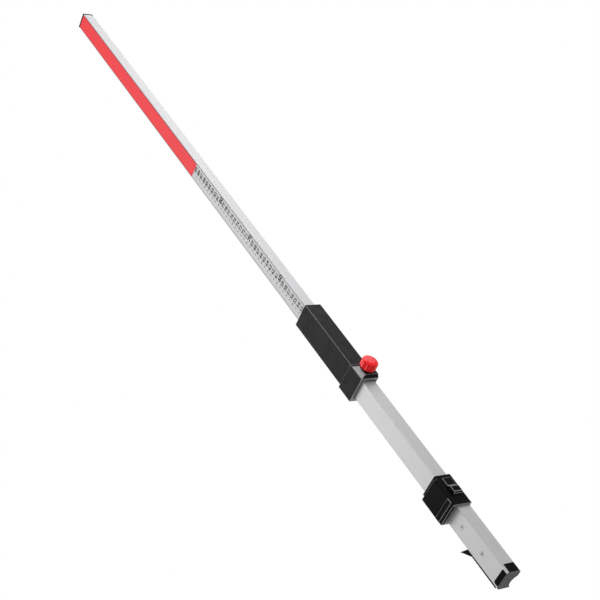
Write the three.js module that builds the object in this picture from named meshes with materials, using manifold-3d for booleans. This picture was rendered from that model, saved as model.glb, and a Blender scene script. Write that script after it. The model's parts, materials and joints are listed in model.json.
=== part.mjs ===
// Telescopic leveling rod: an aluminium outer tube with a foot, a sliding receiver carriage,
// a clamping sleeve with a knob, and an inner tube that carries the scale.
// Units are millimetres. +Z runs up the rod, the scale faces -Y, the knob side is +X.
// The origin is the middle of the foot's underside, which is the rod's zero.
import * as THREE from "three";
import { mergeVertices } from "three/addons/utils/BufferGeometryUtils.js";
import Module from "manifold-3d";

const wasm = await Module();
wasm.setup();

// ---------------------------------------------------------------- driving dimensions

// Clearances
const SLIDE_GAP = 0.3; // between parts that slide on each other
const FIT_GAP = 0.3; // around parts that sit in a pocket
const PIN_GAP = 0.2; // round pins and screws in their holes
const TOUCH_GAP = 0.1; // brake pad and clamp shoe, clear of the tube they press

// Tubes
const OUTER_W = 31;
const OUTER_D = 22.5;
const OUTER_WALL = 1.2;
const OUTER_CORNER = 1.2;
const INNER_WALL = 1.2;
const INNER_CORNER = 1.0;
const INNER_TUCK = 6; // how far the inner tube reaches below the sleeve
const ROD_TOP = 1378;

// Scale and marker tapes, laid in a shallow groove of the inner tube's front
const TAPE_MARGIN = 1.2; // of bare tube on either side
const TAPE_T = 0.3;
const TAPE_EDGE = 0.3;
const RED_BOTTOM = 892;
const TAPE_JOINT = 0.2;

// Top cap and lower glide
const CAP_T = 2;
const PLUG_H = 9;
const PLUG_WALL = 2;
const GLIDE_H = 5;

// Sleeve and its collar
const SLEEVE_SIDE_WALL = 3.7;
const SLEEVE_FRONT_WALL = 2.95;
const SLEEVE_TOP = 521;
const SLEEVE_H = 165;
const SLEEVE_CORNER = 0.9;
const SLEEVE_LIP = 4;
const BUSH_H = 16.4;
const LIP_GAP = 0.7;
const COLLAR_H = 31;
const COLLAR_LEFT = 3.2; // how far the collar stands out past the sleeve on -X
const COLLAR_RIGHT = 1.5;
const COLLAR_FRONT = 2.1;
const COLLAR_BACK = 0.8;

// Clamp boss, on the collar's +X side
const BOSS_REACH = 6; // past the sleeve's side
const BOSS_SLANT = 8;
const BOSS_H = 26;
const BOSS_TOP_SLOPE = 4;
const BOSS_BOTTOM_SLOPE = 4;
const CLAMP_UP = 16; // clamp axis above the sleeve's lower end
const CLAMP_Y = 1;
const SHOE_SIZE = 12;
const SHOE_T = 3;
const SHOE_LIFT = 1.5;
const SHOE_ROOM = 0.3;
const STUD_R = 3;
const INSERT_R = 4.5;
const INSERT_L = 6;
const INSERT_BACK = 0.8;
const WASHER_R = 6.5;
const WASHER_T = 0.8;
const WASHER_DEPTH = 0.6;

// Knob
const KNOB_R = 12.5;
const KNOB_T = 13;
const KNOB_STAND = 3;
const KNOB_HUB_R = 7;
const KNOB_HUB_L = 1;
const KNOB_LOBES = 8;
const KNOB_LOBE_DEPTH = 0.9;
const KNOB_BEVEL = 1.5;
const STUD_IN_KNOB = 7;

// Stop pin through the collar's back, in the inner tube's slot
const STOP_UP = 8; // above the sleeve's lower end
const STOP_R = 2;
const STOP_REACH = 0.7; // past the inner tube's back wall

// Sleeve screws
const SLEEVE_SCREWS_AT = [0.36, 0.72]; // of the sleeve's height, from its lower end

// Screws: countersunk heads
const SCREW_HEAD_R = 3;
const SCREW_HEAD_H = 1.4;
const SCREW_R = 1.5;
const SCREW_SLOT_W = 0.8;
const SCREW_SLOT_H = 0.5;

// Foot
const PLATE_T = 2;
const PLATE_CHAMFER = 1.5;
const FRONT_STRIP = 3; // tube corner left standing beside the front tab
const FRONT_TAB_TOP = 10.5;
const SIDE_TAB_TOP = 15.5;
const CORNER_STRIP = 2.7; // tube corner left standing behind the front face
const TAB_CORNER = 2.5;
const FOOT_TOP = 102;
const FOOT_WALL = 2.5;
const FOOT_FLOOR = 20;
const FOOT_SCREWS_DOWN = [55, 9]; // below the foot block's top
const FOOT_SCREW_L = 9;
const SCREW_BOSS_R = 4;
const SCALLOP_DEPTH = 6;
const SCALLOP_W = 22;
const SCALLOP_X = -4.5;
const SCALLOP_TOP = 12;
const BUFFER_T = 2.5;
const BUFFER_INSET = 1;
const BUFFER_STEM_H = 6;
const BUFFER_GAP = 0.5;

// Clip lever on the foot's -X side
const CLIP_Y = 0;
const CLIP_MARGIN = 0.75; // of bare tube on either side
const CLIP_T = 1.6;
const CLIP_BARREL_R = 1.25;
const CLIP_PIN_R = 0.6;
const CLIP_PIVOT_Z = 5.5;
const CLIP_RAMP_Z = 57; // where the thumb ramp starts on the outside
const CLIP_TOP_Z = 68.5; // the blade's top, on the inside
const CLIP_TIP_Z = 75.5;
const CLIP_TIP_OUT = 13.5; // from the outer tube's side
const CLIP_TIP_T = 1.4;
const CLIP_LUG_T = 2;
const CLIP_PIN_INSET = 0.4;
const CLIP_SPRING_W = 4.4;
const CLIP_SPRING_WIRE = 0.2;
const CLIP_SPRING_TURNS = 5;

// Receiver carriage
const SLIDER_Z = 115.5;
const SLIDER_H = 52.5;
const SLIDER_LEFT_WALL = 4.2;
const SLIDER_RIGHT_WALL = 3.2; // the knob's side, with the lever in it
const SLIDER_FRONT_WALL = 3.65;
const SLIDER_BACK_WALL = 1;
const SLIDER_CORNER = 1.2;
const SEAT_T = 4.5; // of the thick front that carries the receiver
const SEAT_POCKET_H = 4; // hollow in that front, open below
const SEAT_POCKET_WALL = 1;
const SEAT_POCKET_INSET = 2;
const NECK_H = 6;
const NECK_LEFT = 3; // how far the neck's left side stands back
const RIB_Z = 5.2; // the rib's foot, above the carriage's foot
const RIB_H = 8;
const RIB_PROUD = 0.8;
const RIB_INSET = 0.8;
const LINER_T = 0.7;
const LINER_INSET = 3;
const LINER_MARGIN = 3.5; // of bare tube on either side

// Brake lever on the carriage's +X side
const LEVER_Y = 1;
const LEVER_W = 15;
const LEVER_T = 1.6;
const LEVER_TOP_Z = 162;
const LEVER_BOTTOM_Z = 132.5;
const LEVER_PROUD = 1;
const LEVER_PIVOT_Z = 151;
const LEVER_PIVOT_SINK = 1; // from the carriage's side to the pin's axis
const LEVER_PIN_R = 0.5;
const LEVER_PIN_HOLD = 3; // of pin in the wall in front of the lever
const LEVER_BARREL_R = 1.2;
const LEVER_POCKET = 1.2;
const LEVER_PRESS_POCKET = 2.4;
const LEVER_PRESS_FRONT = 4; // how far that pocket runs in front of the lever, for a fingertip
const LEVER_PRESS_H = 15.5;
const THUMB_H = 15.5;
const THUMB_PROUD = 3.2;
const THUMB_CREST = [0.15, 0.78]; // the crest's ends, as shares of the thumb ramp's height
const BRAKE_PAD_H = 5;
const BRAKE_PAD_W = 9;
const BRAKE_PAD_T = 1.4;
const BRAKE_PAD_Z = 154.5;
const BRAKE_PAD_ROOM = 0.9;
const LEVER_SPRING_R = 2.2;
const LEVER_SPRING_WIRE = 0.25;
const LEVER_SPRING_TURNS = 2;
const LEVER_SPRING_Z = 139.5;

// ---------------------------------------------------------------- sizes that follow

const BORE_W = OUTER_W - 2 * OUTER_WALL;
const BORE_D = OUTER_D - 2 * OUTER_WALL;
const INNER_W = BORE_W - 2 * SLIDE_GAP;
const INNER_D = BORE_D - 2 * SLIDE_GAP;
const INNER_BORE_W = INNER_W - 2 * INNER_WALL;
const INNER_BORE_D = INNER_D - 2 * INNER_WALL;
const INNER_TOP = ROD_TOP - CAP_T;
const TAPE_W = INNER_W - 2 * TAPE_MARGIN;
const SOCKET_W = OUTER_W + 2 * FIT_GAP; // the sleeve's bore, over the outer tube
const SOCKET_D = OUTER_D + 2 * FIT_GAP;
const SLEEVE_W = SOCKET_W + 2 * SLEEVE_SIDE_WALL;
const SLEEVE_D = SOCKET_D + 2 * SLEEVE_FRONT_WALL;
const SLEEVE_BOTTOM = SLEEVE_TOP - SLEEVE_H;
const OUTER_TOP = SLEEVE_TOP - SLEEVE_LIP - BUSH_H - 2 * FIT_GAP;
const INNER_BOTTOM = SLEEVE_BOTTOM - INNER_TUCK;
const CLAMP_Z = SLEEVE_BOTTOM + CLAMP_UP;
const STOP_Z = SLEEVE_BOTTOM + STOP_UP;
const SLEEVE_SCREW_ZS = SLEEVE_SCREWS_AT.map((share) => SLEEVE_BOTTOM + share * SLEEVE_H);
const FOOT_SCREW_ZS = FOOT_SCREWS_DOWN.map((down) => FOOT_TOP - down);
const FRONT_TAB_W = OUTER_W - 2 * FRONT_STRIP;
const BUFFER_TOP = FOOT_TOP + BUFFER_T;
const TRAVEL = INNER_BOTTOM - GLIDE_H - BUFFER_GAP - BUFFER_TOP;
const BOSS_FACE = SLEEVE_W / 2 + BOSS_REACH;
const CLAMP_AXIS = [0, CLAMP_Y, CLAMP_Z];
const SHOE_BACK = INNER_W / 2 + TOUCH_GAP + SHOE_T;
const KNOB_BACK = BOSS_FACE + KNOB_STAND;
const CLIP_W = OUTER_D - 2 * CLIP_MARGIN;
const CARRIAGE_BORE_W = OUTER_W + 2 * SLIDE_GAP;
const CARRIAGE_BORE_D = OUTER_D + 2 * SLIDE_GAP + 2 * LINER_T + 2 * TOUCH_GAP;
const SLIDER_LEFT = CARRIAGE_BORE_W / 2 + SLIDER_LEFT_WALL; // from the rod's axis
const SLIDER_SIDE = CARRIAGE_BORE_W / 2 + SLIDER_RIGHT_WALL;
const NECK_FRONT = CARRIAGE_BORE_D / 2 + SLIDER_FRONT_WALL;
const SLIDER_FRONT = NECK_FRONT + SEAT_T;
const SLIDER_BACK = CARRIAGE_BORE_D / 2 + SLIDER_BACK_WALL;
const LINER_W = OUTER_W - 2 * LINER_MARGIN;
const SLIDER_TOP = SLIDER_Z + SLIDER_H;
const CLIP_PIVOT_X = -(OUTER_W / 2 + PIN_GAP + CLIP_BARREL_R);
const CLIP_LUG_Y = CLIP_SPRING_W / 2 + FIT_GAP; // inner face of each lug
const CLIP_NOTCH = CLIP_LUG_Y + CLIP_LUG_T + FIT_GAP; // half the lever's notch over the lugs
const LEVER_PIVOT_X = SLIDER_SIDE - LEVER_PIVOT_SINK;
const LEVER_OUTER = SLIDER_SIDE + LEVER_PROUD;
const LEVER_INNER = LEVER_OUTER - LEVER_T;

// ---------------------------------------------------------------- materials

const material = (color, roughness, metalness) =>
  new THREE.MeshStandardMaterial({ color, roughness, metalness });

const ANODISED = () => material(0xc6c8ca, 0.4, 0.9);
const BLACK_POLYMER = () => material(0x2e2e30, 0.5, 0);
const DEEP_BLACK = () => material(0x1a1a1b, 0.45, 0);
const WHITE_ACETAL = () => material(0xe6e4de, 0.5, 0);
const ZINC_STEEL = () => material(0x9a9c9e, 0.35, 1);
const SPRING_STEEL = () => material(0x6d7074, 0.35, 1);
const BRASS = () => material(0xb08d42, 0.35, 1);
const DARK_RUBBER = () => material(0x202021, 0.85, 0);
const PLATE_GREY = () => material(0x5b5c5e, 0.5, 0.6);
const RED_FILM = () => material(0xee3a40, 0.45, 0);
const SCALE_FILM = () => material(0xc9cacb, 0.5, 0.2);
const RED_GLOSS = () => material(0xe8151c, 0.2, 0);

// ---------------------------------------------------------------- shapes

// A closed geometry as a solid that can be joined and cut
function solid(geometry) {
  const plain = geometry.index ? geometry.toNonIndexed() : geometry.clone();
  for (const name of Object.keys(plain.attributes)) {
    if (name !== "position") plain.deleteAttribute(name);
  }
  const merged = mergeVertices(plain, 1e-4);
  return new wasm.Manifold(
    new wasm.Mesh({
      numProp: 3,
      vertProperties: new Float32Array(merged.attributes.position.array),
      triVerts: new Uint32Array(merged.index.array),
    }),
  );
}

function geometryOf(body) {
  const mesh = body.getMesh();
  const geometry = new THREE.BufferGeometry();
  geometry.setAttribute("position", new THREE.BufferAttribute(mesh.vertProperties, 3));
  geometry.setIndex(new THREE.BufferAttribute(mesh.triVerts, 1));
  geometry.computeVertexNormals();
  return geometry;
}

// A box between two corners
function block(x0, x1, y0, y1, z0, z1) {
  const geometry = new THREE.BoxGeometry(x1 - x0, y1 - y0, z1 - z0);
  geometry.translate((x0 + x1) / 2, (y0 + y1) / 2, (z0 + z1) / 2);
  return solid(geometry);
}

function roundedOutline(w, d, r) {
  const shape = new THREE.Shape();
  shape.moveTo(-w / 2 + r, -d / 2);
  shape.lineTo(w / 2 - r, -d / 2);
  shape.absarc(w / 2 - r, -d / 2 + r, r, -Math.PI / 2, 0);
  shape.lineTo(w / 2, d / 2 - r);
  shape.absarc(w / 2 - r, d / 2 - r, r, 0, Math.PI / 2);
  shape.lineTo(-w / 2 + r, d / 2);
  shape.absarc(-w / 2 + r, d / 2 - r, r, Math.PI / 2, Math.PI);
  shape.lineTo(-w / 2, -d / 2 + r);
  shape.absarc(-w / 2 + r, -d / 2 + r, r, Math.PI, 1.5 * Math.PI);
  return shape;
}

// A rounded rectangle, w by d, from z0 up to z1, its middle at (x, y)
function post(w, d, r, z0, z1, x = 0, y = 0) {
  const geometry = new THREE.ExtrudeGeometry(roundedOutline(w, d, r), {
    depth: z1 - z0,
    bevelEnabled: false,
    curveSegments: 3,
  });
  geometry.translate(x, y, z0);
  return solid(geometry);
}

// A rounded rectangle w by h in the XZ plane, about (x, z), from y0 back to y1
function slab(x, z, w, h, r, y0, y1) {
  const geometry = new THREE.ExtrudeGeometry(roundedOutline(w, h, r), {
    depth: y1 - y0,
    bevelEnabled: false,
    curveSegments: 4,
  });
  geometry.rotateX(Math.PI / 2);
  geometry.translate(x, y1, z);
  return solid(geometry);
}

// An outline of points, [x, y], from z0 up to z1
function prism(points, z0, z1) {
  const shape = new THREE.Shape(points.map(([x, y]) => new THREE.Vector2(x, y)));
  const geometry = new THREE.ExtrudeGeometry(shape, { depth: z1 - z0, bevelEnabled: false });
  geometry.translate(0, 0, z0);
  return solid(geometry);
}

// An outline of points, [x, z], from y0 back to y1
function sideways(points, y0, y1) {
  const shape = new THREE.Shape(points.map(([x, z]) => new THREE.Vector2(x, z)));
  const geometry = new THREE.ExtrudeGeometry(shape, { depth: y1 - y0, bevelEnabled: false });
  geometry.rotateX(Math.PI / 2);
  geometry.translate(0, y1, 0);
  return solid(geometry);
}

// An outline of points, [y, z], from x0 across to x1
function lengthways(points, x0, x1) {
  const shape = new THREE.Shape(points.map(([y, z]) => new THREE.Vector2(y, z)));
  const geometry = new THREE.ExtrudeGeometry(shape, { depth: x1 - x0, bevelEnabled: false });
  geometry.rotateX(Math.PI / 2);
  geometry.rotateZ(Math.PI / 2);
  geometry.translate(x0, 0, 0);
  return solid(geometry);
}

// A turned profile of [radius, along] points, about the line through `at`, along +X or +Y
function turned(profile, axis, at, sides = 24) {
  const points = profile.map(([r, along]) => new THREE.Vector2(r, along));
  const geometry = new THREE.LatheGeometry(points, sides);
  if (axis === "x") geometry.rotateZ(-Math.PI / 2);
  geometry.translate(...at);
  return solid(geometry);
}

const rod = (r, from, to) => [
  [0, from],
  [r, from],
  [r, to],
  [0, to],
];

// A helix of wire about +X or +Y, with closed round ends, its middle at `at`
function coil(radius, wire, turns, length, axis, at) {
  class Helix extends THREE.Curve {
    getPoint(t, target = new THREE.Vector3()) {
      const angle = 2 * Math.PI * turns * t;
      return target.set(radius * Math.cos(angle), radius * Math.sin(angle), length * (t - 0.5));
    }
  }
  const section = new THREE.Shape();
  section.absarc(0, 0, wire, 0, 2 * Math.PI);
  const geometry = new THREE.ExtrudeGeometry(section, {
    steps: Math.round(turns * 14),
    extrudePath: new Helix(),
    curveSegments: 3,
  });
  if (axis === "x") geometry.rotateY(Math.PI / 2);
  if (axis === "y") geometry.rotateX(-Math.PI / 2);
  geometry.translate(...at);
  return solid(geometry);
}

// A countersunk screw whose head lies in the plane `face`, pointing along `into` (+1 or -1 on Y)
function screwProfile(length, gap) {
  return [
    [0, 0],
    [SCREW_HEAD_R + gap, 0],
    [SCREW_R + gap, SCREW_HEAD_H],
    [SCREW_R + gap, length],
    [0, length],
  ];
}

function alongY(profile, into) {
  return profile.map(([r, along]) => [r, into * along]);
}

function screw(face, into, z, length) {
  const profile = alongY(screwProfile(length, 0), into);
  const body = turned(into > 0 ? profile : profile.reverse(), "y", [0, face, z]);
  const deep = face + into * SCREW_SLOT_H;
  const out = face - into;
  const slot = block(
    -SCREW_HEAD_R, SCREW_HEAD_R,
    Math.min(out, deep), Math.max(out, deep),
    z - SCREW_SLOT_W / 2, z + SCREW_SLOT_W / 2,
  );
  return body.subtract(slot);
}

// The hole for such a screw, open past its head
function screwHole(face, into, z, length) {
  const mouth = [
    [0, -1],
    [SCREW_HEAD_R + PIN_GAP, -1],
  ];
  const profile = alongY([...mouth, ...screwProfile(length, PIN_GAP).slice(1)], into);
  return turned(into > 0 ? profile : profile.reverse(), "y", [0, face, z]);
}

// ---------------------------------------------------------------- outer tube and foot

function outerTube() {
  let tube = post(OUTER_W, OUTER_D, OUTER_CORNER, PLATE_T, OUTER_TOP)
    .subtract(post(BORE_W, BORE_D, OUTER_CORNER / 3, PLATE_T - 1, OUTER_TOP + 1));
  // cut away for the foot: all but the two front corners, and a tab in the front face
  tube = tube.subtract(
    block(-OUTER_W, OUTER_W, -OUTER_D / 2 + CORNER_STRIP, OUTER_D, 0, SIDE_TAB_TOP),
  );
  tube = tube.subtract(frontTab(FIT_GAP, -OUTER_D, -BORE_D / 2 + 1));
  for (const z of FOOT_SCREW_ZS) {
    tube = tube.subtract(screwHole(-OUTER_D / 2, 1, z, FOOT_SCREW_L));
  }
  for (const z of SLEEVE_SCREW_ZS) {
    tube = tube.subtract(screwHole(SLEEVE_D / 2, -1, z, SLEEVE_D / 2));
  }
  tube = tube.subtract(stopPin(PIN_GAP, 0));
  tube = tube.subtract(shoeRoom());
  return tube;
}

// The tab that fills the notch in the tube's front face
function frontTab(gap, y0, y1) {
  const top = FRONT_TAB_TOP + gap;
  const height = 2 * (top - PLATE_T);
  const tab = slab(0, PLATE_T, FRONT_TAB_W + 2 * gap, height, TAB_CORNER, y0, y1);
  return tab.subtract(block(-OUTER_W, OUTER_W, y0 - 1, y1 + 1, -height, PLATE_T - gap));
}

function scallop() {
  const half = SCALLOP_W / 2;
  const radius = (half * half + SCALLOP_DEPTH * SCALLOP_DEPTH) / (2 * SCALLOP_DEPTH);
  const geometry = new THREE.CylinderGeometry(radius, radius, SCALLOP_TOP + 1, 48);
  geometry.rotateX(Math.PI / 2);
  geometry.translate(SCALLOP_X, OUTER_D / 2 - SCALLOP_DEPTH + radius, (SCALLOP_TOP - 1) / 2);
  return solid(geometry);
}

function footBlock() {
  const shank = post(INNER_W, INNER_D, OUTER_CORNER, PLATE_T, FOOT_TOP);
  const skirt = post(OUTER_W, OUTER_D, OUTER_CORNER, PLATE_T, SIDE_TAB_TOP - FIT_GAP).subtract(
    block(-OUTER_W, OUTER_W, -OUTER_D, -OUTER_D / 2 + CORNER_STRIP + FIT_GAP, 0, FOOT_TOP),
  );
  let foot = shank.add(skirt).add(frontTab(0, -OUTER_D / 2, 0));
  const hollow = post(
    INNER_W - 2 * FOOT_WALL, INNER_D - 2 * FOOT_WALL, OUTER_CORNER, FOOT_FLOOR, FOOT_TOP + 1,
  );
  foot = foot.subtract(hollow);
  for (const z of FOOT_SCREW_ZS) {
    const boss = turned(rod(SCREW_BOSS_R, 0, INNER_D - FOOT_WALL), "y", [0, -INNER_D / 2 + 1, z]);
    foot = foot.add(boss);
    foot = foot.subtract(screwHole(-OUTER_D / 2, 1, z, FOOT_SCREW_L + PIN_GAP));
  }
  foot = foot.subtract(scallop());
  for (const side of [-1, 1]) foot = foot.add(clipLug(side));
  return foot.subtract(clipPinSolid(PIN_GAP)).subtract(stemOfBuffer(FIT_GAP));
}

function footPlate() {
  const plate = post(OUTER_W, OUTER_D, OUTER_CORNER, 0, PLATE_T);
  const front = -OUTER_D / 2;
  const wedge = lengthways(
    [
      [front - 1, -1],
      [front + PLATE_CHAMFER + 1, -1],
      [front - 1, PLATE_CHAMFER + 1],
    ],
    -OUTER_W,
    OUTER_W,
  );
  return plate.subtract(wedge).subtract(scallop());
}

function stemOfBuffer(gap) {
  const inset = 2 * FOOT_WALL + 2 * FIT_GAP - 2 * gap;
  return post(
    INNER_W - inset, INNER_D - inset, OUTER_CORNER, FOOT_TOP - BUFFER_STEM_H - gap, FOOT_TOP,
  );
}

function footBuffer() {
  const w = INNER_W - 2 * BUFFER_INSET;
  const d = INNER_D - 2 * BUFFER_INSET;
  return post(w, d, OUTER_CORNER, FOOT_TOP, BUFFER_TOP).add(stemOfBuffer(0));
}

// ---------------------------------------------------------------- clip lever

// A lug on the foot that holds the clip lever's pin, on either side of the spring
function clipLug(side) {
  const near = CLIP_Y + side * CLIP_LUG_Y;
  const far = near + side * CLIP_LUG_T;
  const root = -OUTER_W / 2 + 1;
  const reach = CLIP_PIVOT_X - CLIP_BARREL_R;
  const top = CLIP_PIVOT_Z + 2 * CLIP_BARREL_R;
  return sideways(
    [
      [root, PLATE_T],
      [reach, PLATE_T],
      [reach, CLIP_PIVOT_Z + CLIP_BARREL_R],
      [-OUTER_W / 2, top],
      [root, top],
    ],
    Math.min(near, far),
    Math.max(near, far),
  );
}

function clipPinSolid(gap) {
  const half = CLIP_W / 2 - CLIP_PIN_INSET + gap;
  return turned(rod(CLIP_PIN_R + gap, -half, half), "y", [CLIP_PIVOT_X, CLIP_Y, CLIP_PIVOT_Z]);
}

function clipLever() {
  const inside = CLIP_PIVOT_X + CLIP_T / 2;
  const outside = CLIP_PIVOT_X - CLIP_T / 2;
  const tip = -OUTER_W / 2 - CLIP_TIP_OUT;
  const blade = sideways(
    [
      [inside, CLIP_PIVOT_Z],
      [inside, CLIP_TOP_Z],
      [tip + CLIP_TIP_T / 2, CLIP_TIP_Z],
      [tip, CLIP_TIP_Z - CLIP_TIP_T],
      [outside, CLIP_RAMP_Z],
      [outside, CLIP_PIVOT_Z],
    ],
    CLIP_Y - CLIP_W / 2,
    CLIP_Y + CLIP_W / 2,
  );
  const barrel = turned(
    rod(CLIP_BARREL_R, -CLIP_W / 2, CLIP_W / 2), "y", [CLIP_PIVOT_X, CLIP_Y, CLIP_PIVOT_Z],
  );
  const room = 2 * CLIP_BARREL_R + FIT_GAP;
  const notch = block(
    CLIP_PIVOT_X - room, CLIP_PIVOT_X + room,
    CLIP_Y - CLIP_NOTCH, CLIP_Y + CLIP_NOTCH,
    CLIP_PIVOT_Z - room, CLIP_PIVOT_Z + room,
  );
  return blade.add(barrel).subtract(clipPinSolid(PIN_GAP)).subtract(notch);
}

function clipSpring() {
  const radius = CLIP_PIN_R + PIN_GAP + CLIP_SPRING_WIRE;
  const length = CLIP_SPRING_W - 2 * CLIP_SPRING_WIRE;
  return coil(radius, CLIP_SPRING_WIRE, CLIP_SPRING_TURNS, length, "y", [
    CLIP_PIVOT_X, CLIP_Y, CLIP_PIVOT_Z,
  ]);
}

// ---------------------------------------------------------------- inner tube

function innerTube() {
  const tube = post(INNER_W, INNER_D, INNER_CORNER, INNER_BOTTOM, INNER_TOP)
    .subtract(post(INNER_BORE_W, INNER_BORE_D, INNER_CORNER / 3, INNER_BOTTOM - 1, INNER_TOP + 1));
  const half = TAPE_W / 2 + TAPE_EDGE;
  const front = -INNER_D / 2;
  const groove = block(-half, half, front - 1, front + TAPE_T, INNER_BOTTOM - 1, INNER_TOP + 1);
  const middle = STOP_Z + TRAVEL / 2;
  const reach = STOP_R + PIN_GAP;
  const slot = slab(
    0, middle, 2 * reach, TRAVEL + 2 * reach, reach * 0.98, INNER_BORE_D / 2 - 1, INNER_D,
  );
  return tube.subtract(groove).subtract(slot);
}

function tape(z0, z1) {
  const front = -INNER_D / 2;
  return block(-TAPE_W / 2, TAPE_W / 2, front, front + TAPE_T, z0, z1);
}

// A hollow plug that fills the inner tube's end, from z0 to z1
function plug(z0, z1, open) {
  const w = INNER_BORE_W - 2 * FIT_GAP;
  const d = INNER_BORE_D - 2 * FIT_GAP;
  const hollow = post(
    w - 2 * PLUG_WALL, d - 2 * PLUG_WALL, INNER_CORNER / 2,
    open > 0 ? z0 : z0 - 1, open > 0 ? z1 + 1 : z1,
  );
  return post(w, d, INNER_CORNER / 2, z0, z1).subtract(hollow);
}

function topCap() {
  return post(INNER_W, INNER_D, INNER_CORNER, INNER_TOP, ROD_TOP)
    .add(plug(INNER_TOP - PLUG_H, INNER_TOP, -1));
}

function lowerGlide() {
  return post(INNER_W, INNER_D, INNER_CORNER, INNER_BOTTOM - GLIDE_H, INNER_BOTTOM)
    .add(plug(INNER_BOTTOM, INNER_BOTTOM + PLUG_H, 1))
    .subtract(stopPin(PIN_GAP + FIT_GAP, TRAVEL));
}

// ---------------------------------------------------------------- sleeve and clamp

function collarOutline() {
  const left = -SLEEVE_W / 2 - COLLAR_LEFT;
  const right = SLEEVE_W / 2 + COLLAR_RIGHT;
  const front = -SLEEVE_D / 2 - COLLAR_FRONT;
  const back = SLEEVE_D / 2 + COLLAR_BACK;
  return [
    [left, front],
    [right, front],
    [right, back],
    [left, back],
  ];
}

// The block on the collar's side that holds the clamp screw, slanted at the front, above and below
function clampBoss() {
  const root = SLEEVE_W / 2;
  const right = root + COLLAR_RIGHT;
  const front = -SLEEVE_D / 2 - COLLAR_FRONT;
  const back = SLEEVE_D / 2 + COLLAR_BACK;
  const plan = prism(
    [
      [root, front],
      [right, front],
      [BOSS_FACE, front + BOSS_SLANT],
      [BOSS_FACE, back],
      [root, back],
    ],
    SLEEVE_BOTTOM,
    SLEEVE_BOTTOM + BOSS_H,
  );
  const side = sideways(
    [
      [root - 1, SLEEVE_BOTTOM],
      [right, SLEEVE_BOTTOM],
      [BOSS_FACE, SLEEVE_BOTTOM + BOSS_BOTTOM_SLOPE],
      [BOSS_FACE, SLEEVE_BOTTOM + BOSS_H - BOSS_TOP_SLOPE],
      [right, SLEEVE_BOTTOM + BOSS_H],
      [root - 1, SLEEVE_BOTTOM + BOSS_H],
    ],
    -SLEEVE_D,
    SLEEVE_D,
  );
  return plan.intersect(side);
}

function sleeve() {
  const collarTop = SLEEVE_BOTTOM + COLLAR_H;
  let body = post(SLEEVE_W, SLEEVE_D, SLEEVE_CORNER, collarTop - 1, SLEEVE_TOP)
    .add(prism(collarOutline(), SLEEVE_BOTTOM, collarTop))
    .add(clampBoss());
  body = body.subtract(
    post(SOCKET_W, SOCKET_D, OUTER_CORNER, SLEEVE_BOTTOM - 1, SLEEVE_TOP - SLEEVE_LIP),
  );
  const mouthW = INNER_W + 2 * LIP_GAP;
  const mouthD = INNER_D + 2 * LIP_GAP;
  const lipZ = SLEEVE_TOP - SLEEVE_LIP;
  body = body.subtract(post(mouthW, mouthD, INNER_CORNER, lipZ - 1, SLEEVE_TOP + 1));
  for (const z of SLEEVE_SCREW_ZS) {
    body = body.subtract(screwHole(SLEEVE_D / 2, -1, z, SLEEVE_D / 2));
  }
  body = body.subtract(stopPin(PIN_GAP, 1));
  body = body.subtract(shoeRoom());
  const insertEnd = BOSS_FACE - INSERT_BACK;
  const washerSeat = BOSS_FACE - WASHER_DEPTH - PIN_GAP;
  return body
    .subtract(turned(rod(STUD_R + PIN_GAP, OUTER_W / 2, BOSS_FACE + 1), "x", CLAMP_AXIS))
    .subtract(turned(rod(INSERT_R + PIN_GAP, insertEnd - INSERT_L, BOSS_FACE), "x", CLAMP_AXIS))
    .subtract(turned(rod(WASHER_R + PIN_GAP, washerSeat, BOSS_FACE + 1), "x", CLAMP_AXIS));
}

function guideBush() {
  const z0 = OUTER_TOP + FIT_GAP;
  const z1 = z0 + BUSH_H;
  return post(SOCKET_W - 2 * FIT_GAP, SOCKET_D - 2 * FIT_GAP, OUTER_CORNER, z0, z1)
    .subtract(post(BORE_W, BORE_D, INNER_CORNER, z0 - 1, z1 + 1));
}

// The stop pin, from the collar's back into the slot; `extra` lengthens it both ways for a cut
function stopPin(gap, extra) {
  const tip = INNER_BORE_D / 2 - STOP_REACH - gap;
  const head = SLEEVE_D / 2 + COLLAR_BACK - FIT_GAP + extra;
  return turned(rod(STOP_R + gap, tip, head), "y", [0, 0, STOP_Z]);
}

// The room in tube and sleeve for the clamp shoe and its stroke
function shoeRoom() {
  const half = SHOE_SIZE / 2 + SHOE_ROOM;
  return block(
    BORE_W / 2 - 0.5, SHOE_BACK + SHOE_LIFT + SHOE_ROOM,
    CLAMP_Y - half, CLAMP_Y + half,
    CLAMP_Z - half, CLAMP_Z + half,
  );
}

function clampShoe() {
  const half = SHOE_SIZE / 2;
  return block(
    SHOE_BACK - SHOE_T, SHOE_BACK,
    CLAMP_Y - half, CLAMP_Y + half,
    CLAMP_Z - half, CLAMP_Z + half,
  );
}

function threadedInsert() {
  const end = BOSS_FACE - INSERT_BACK - PIN_GAP;
  return turned(rod(INSERT_R, end - INSERT_L + 2 * PIN_GAP, end), "x", CLAMP_AXIS)
    .subtract(turned(rod(STUD_R + PIN_GAP, 0, BOSS_FACE), "x", CLAMP_AXIS));
}

function knobWasher() {
  const start = BOSS_FACE - WASHER_DEPTH;
  return turned(rod(WASHER_R, start, start + WASHER_T), "x", CLAMP_AXIS)
    .subtract(turned(rod(STUD_R + PIN_GAP, 0, KNOB_BACK), "x", CLAMP_AXIS));
}

function knobStud() {
  return turned(rod(STUD_R, SHOE_BACK + TOUCH_GAP, KNOB_BACK + STUD_IN_KNOB), "x", CLAMP_AXIS);
}

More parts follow.
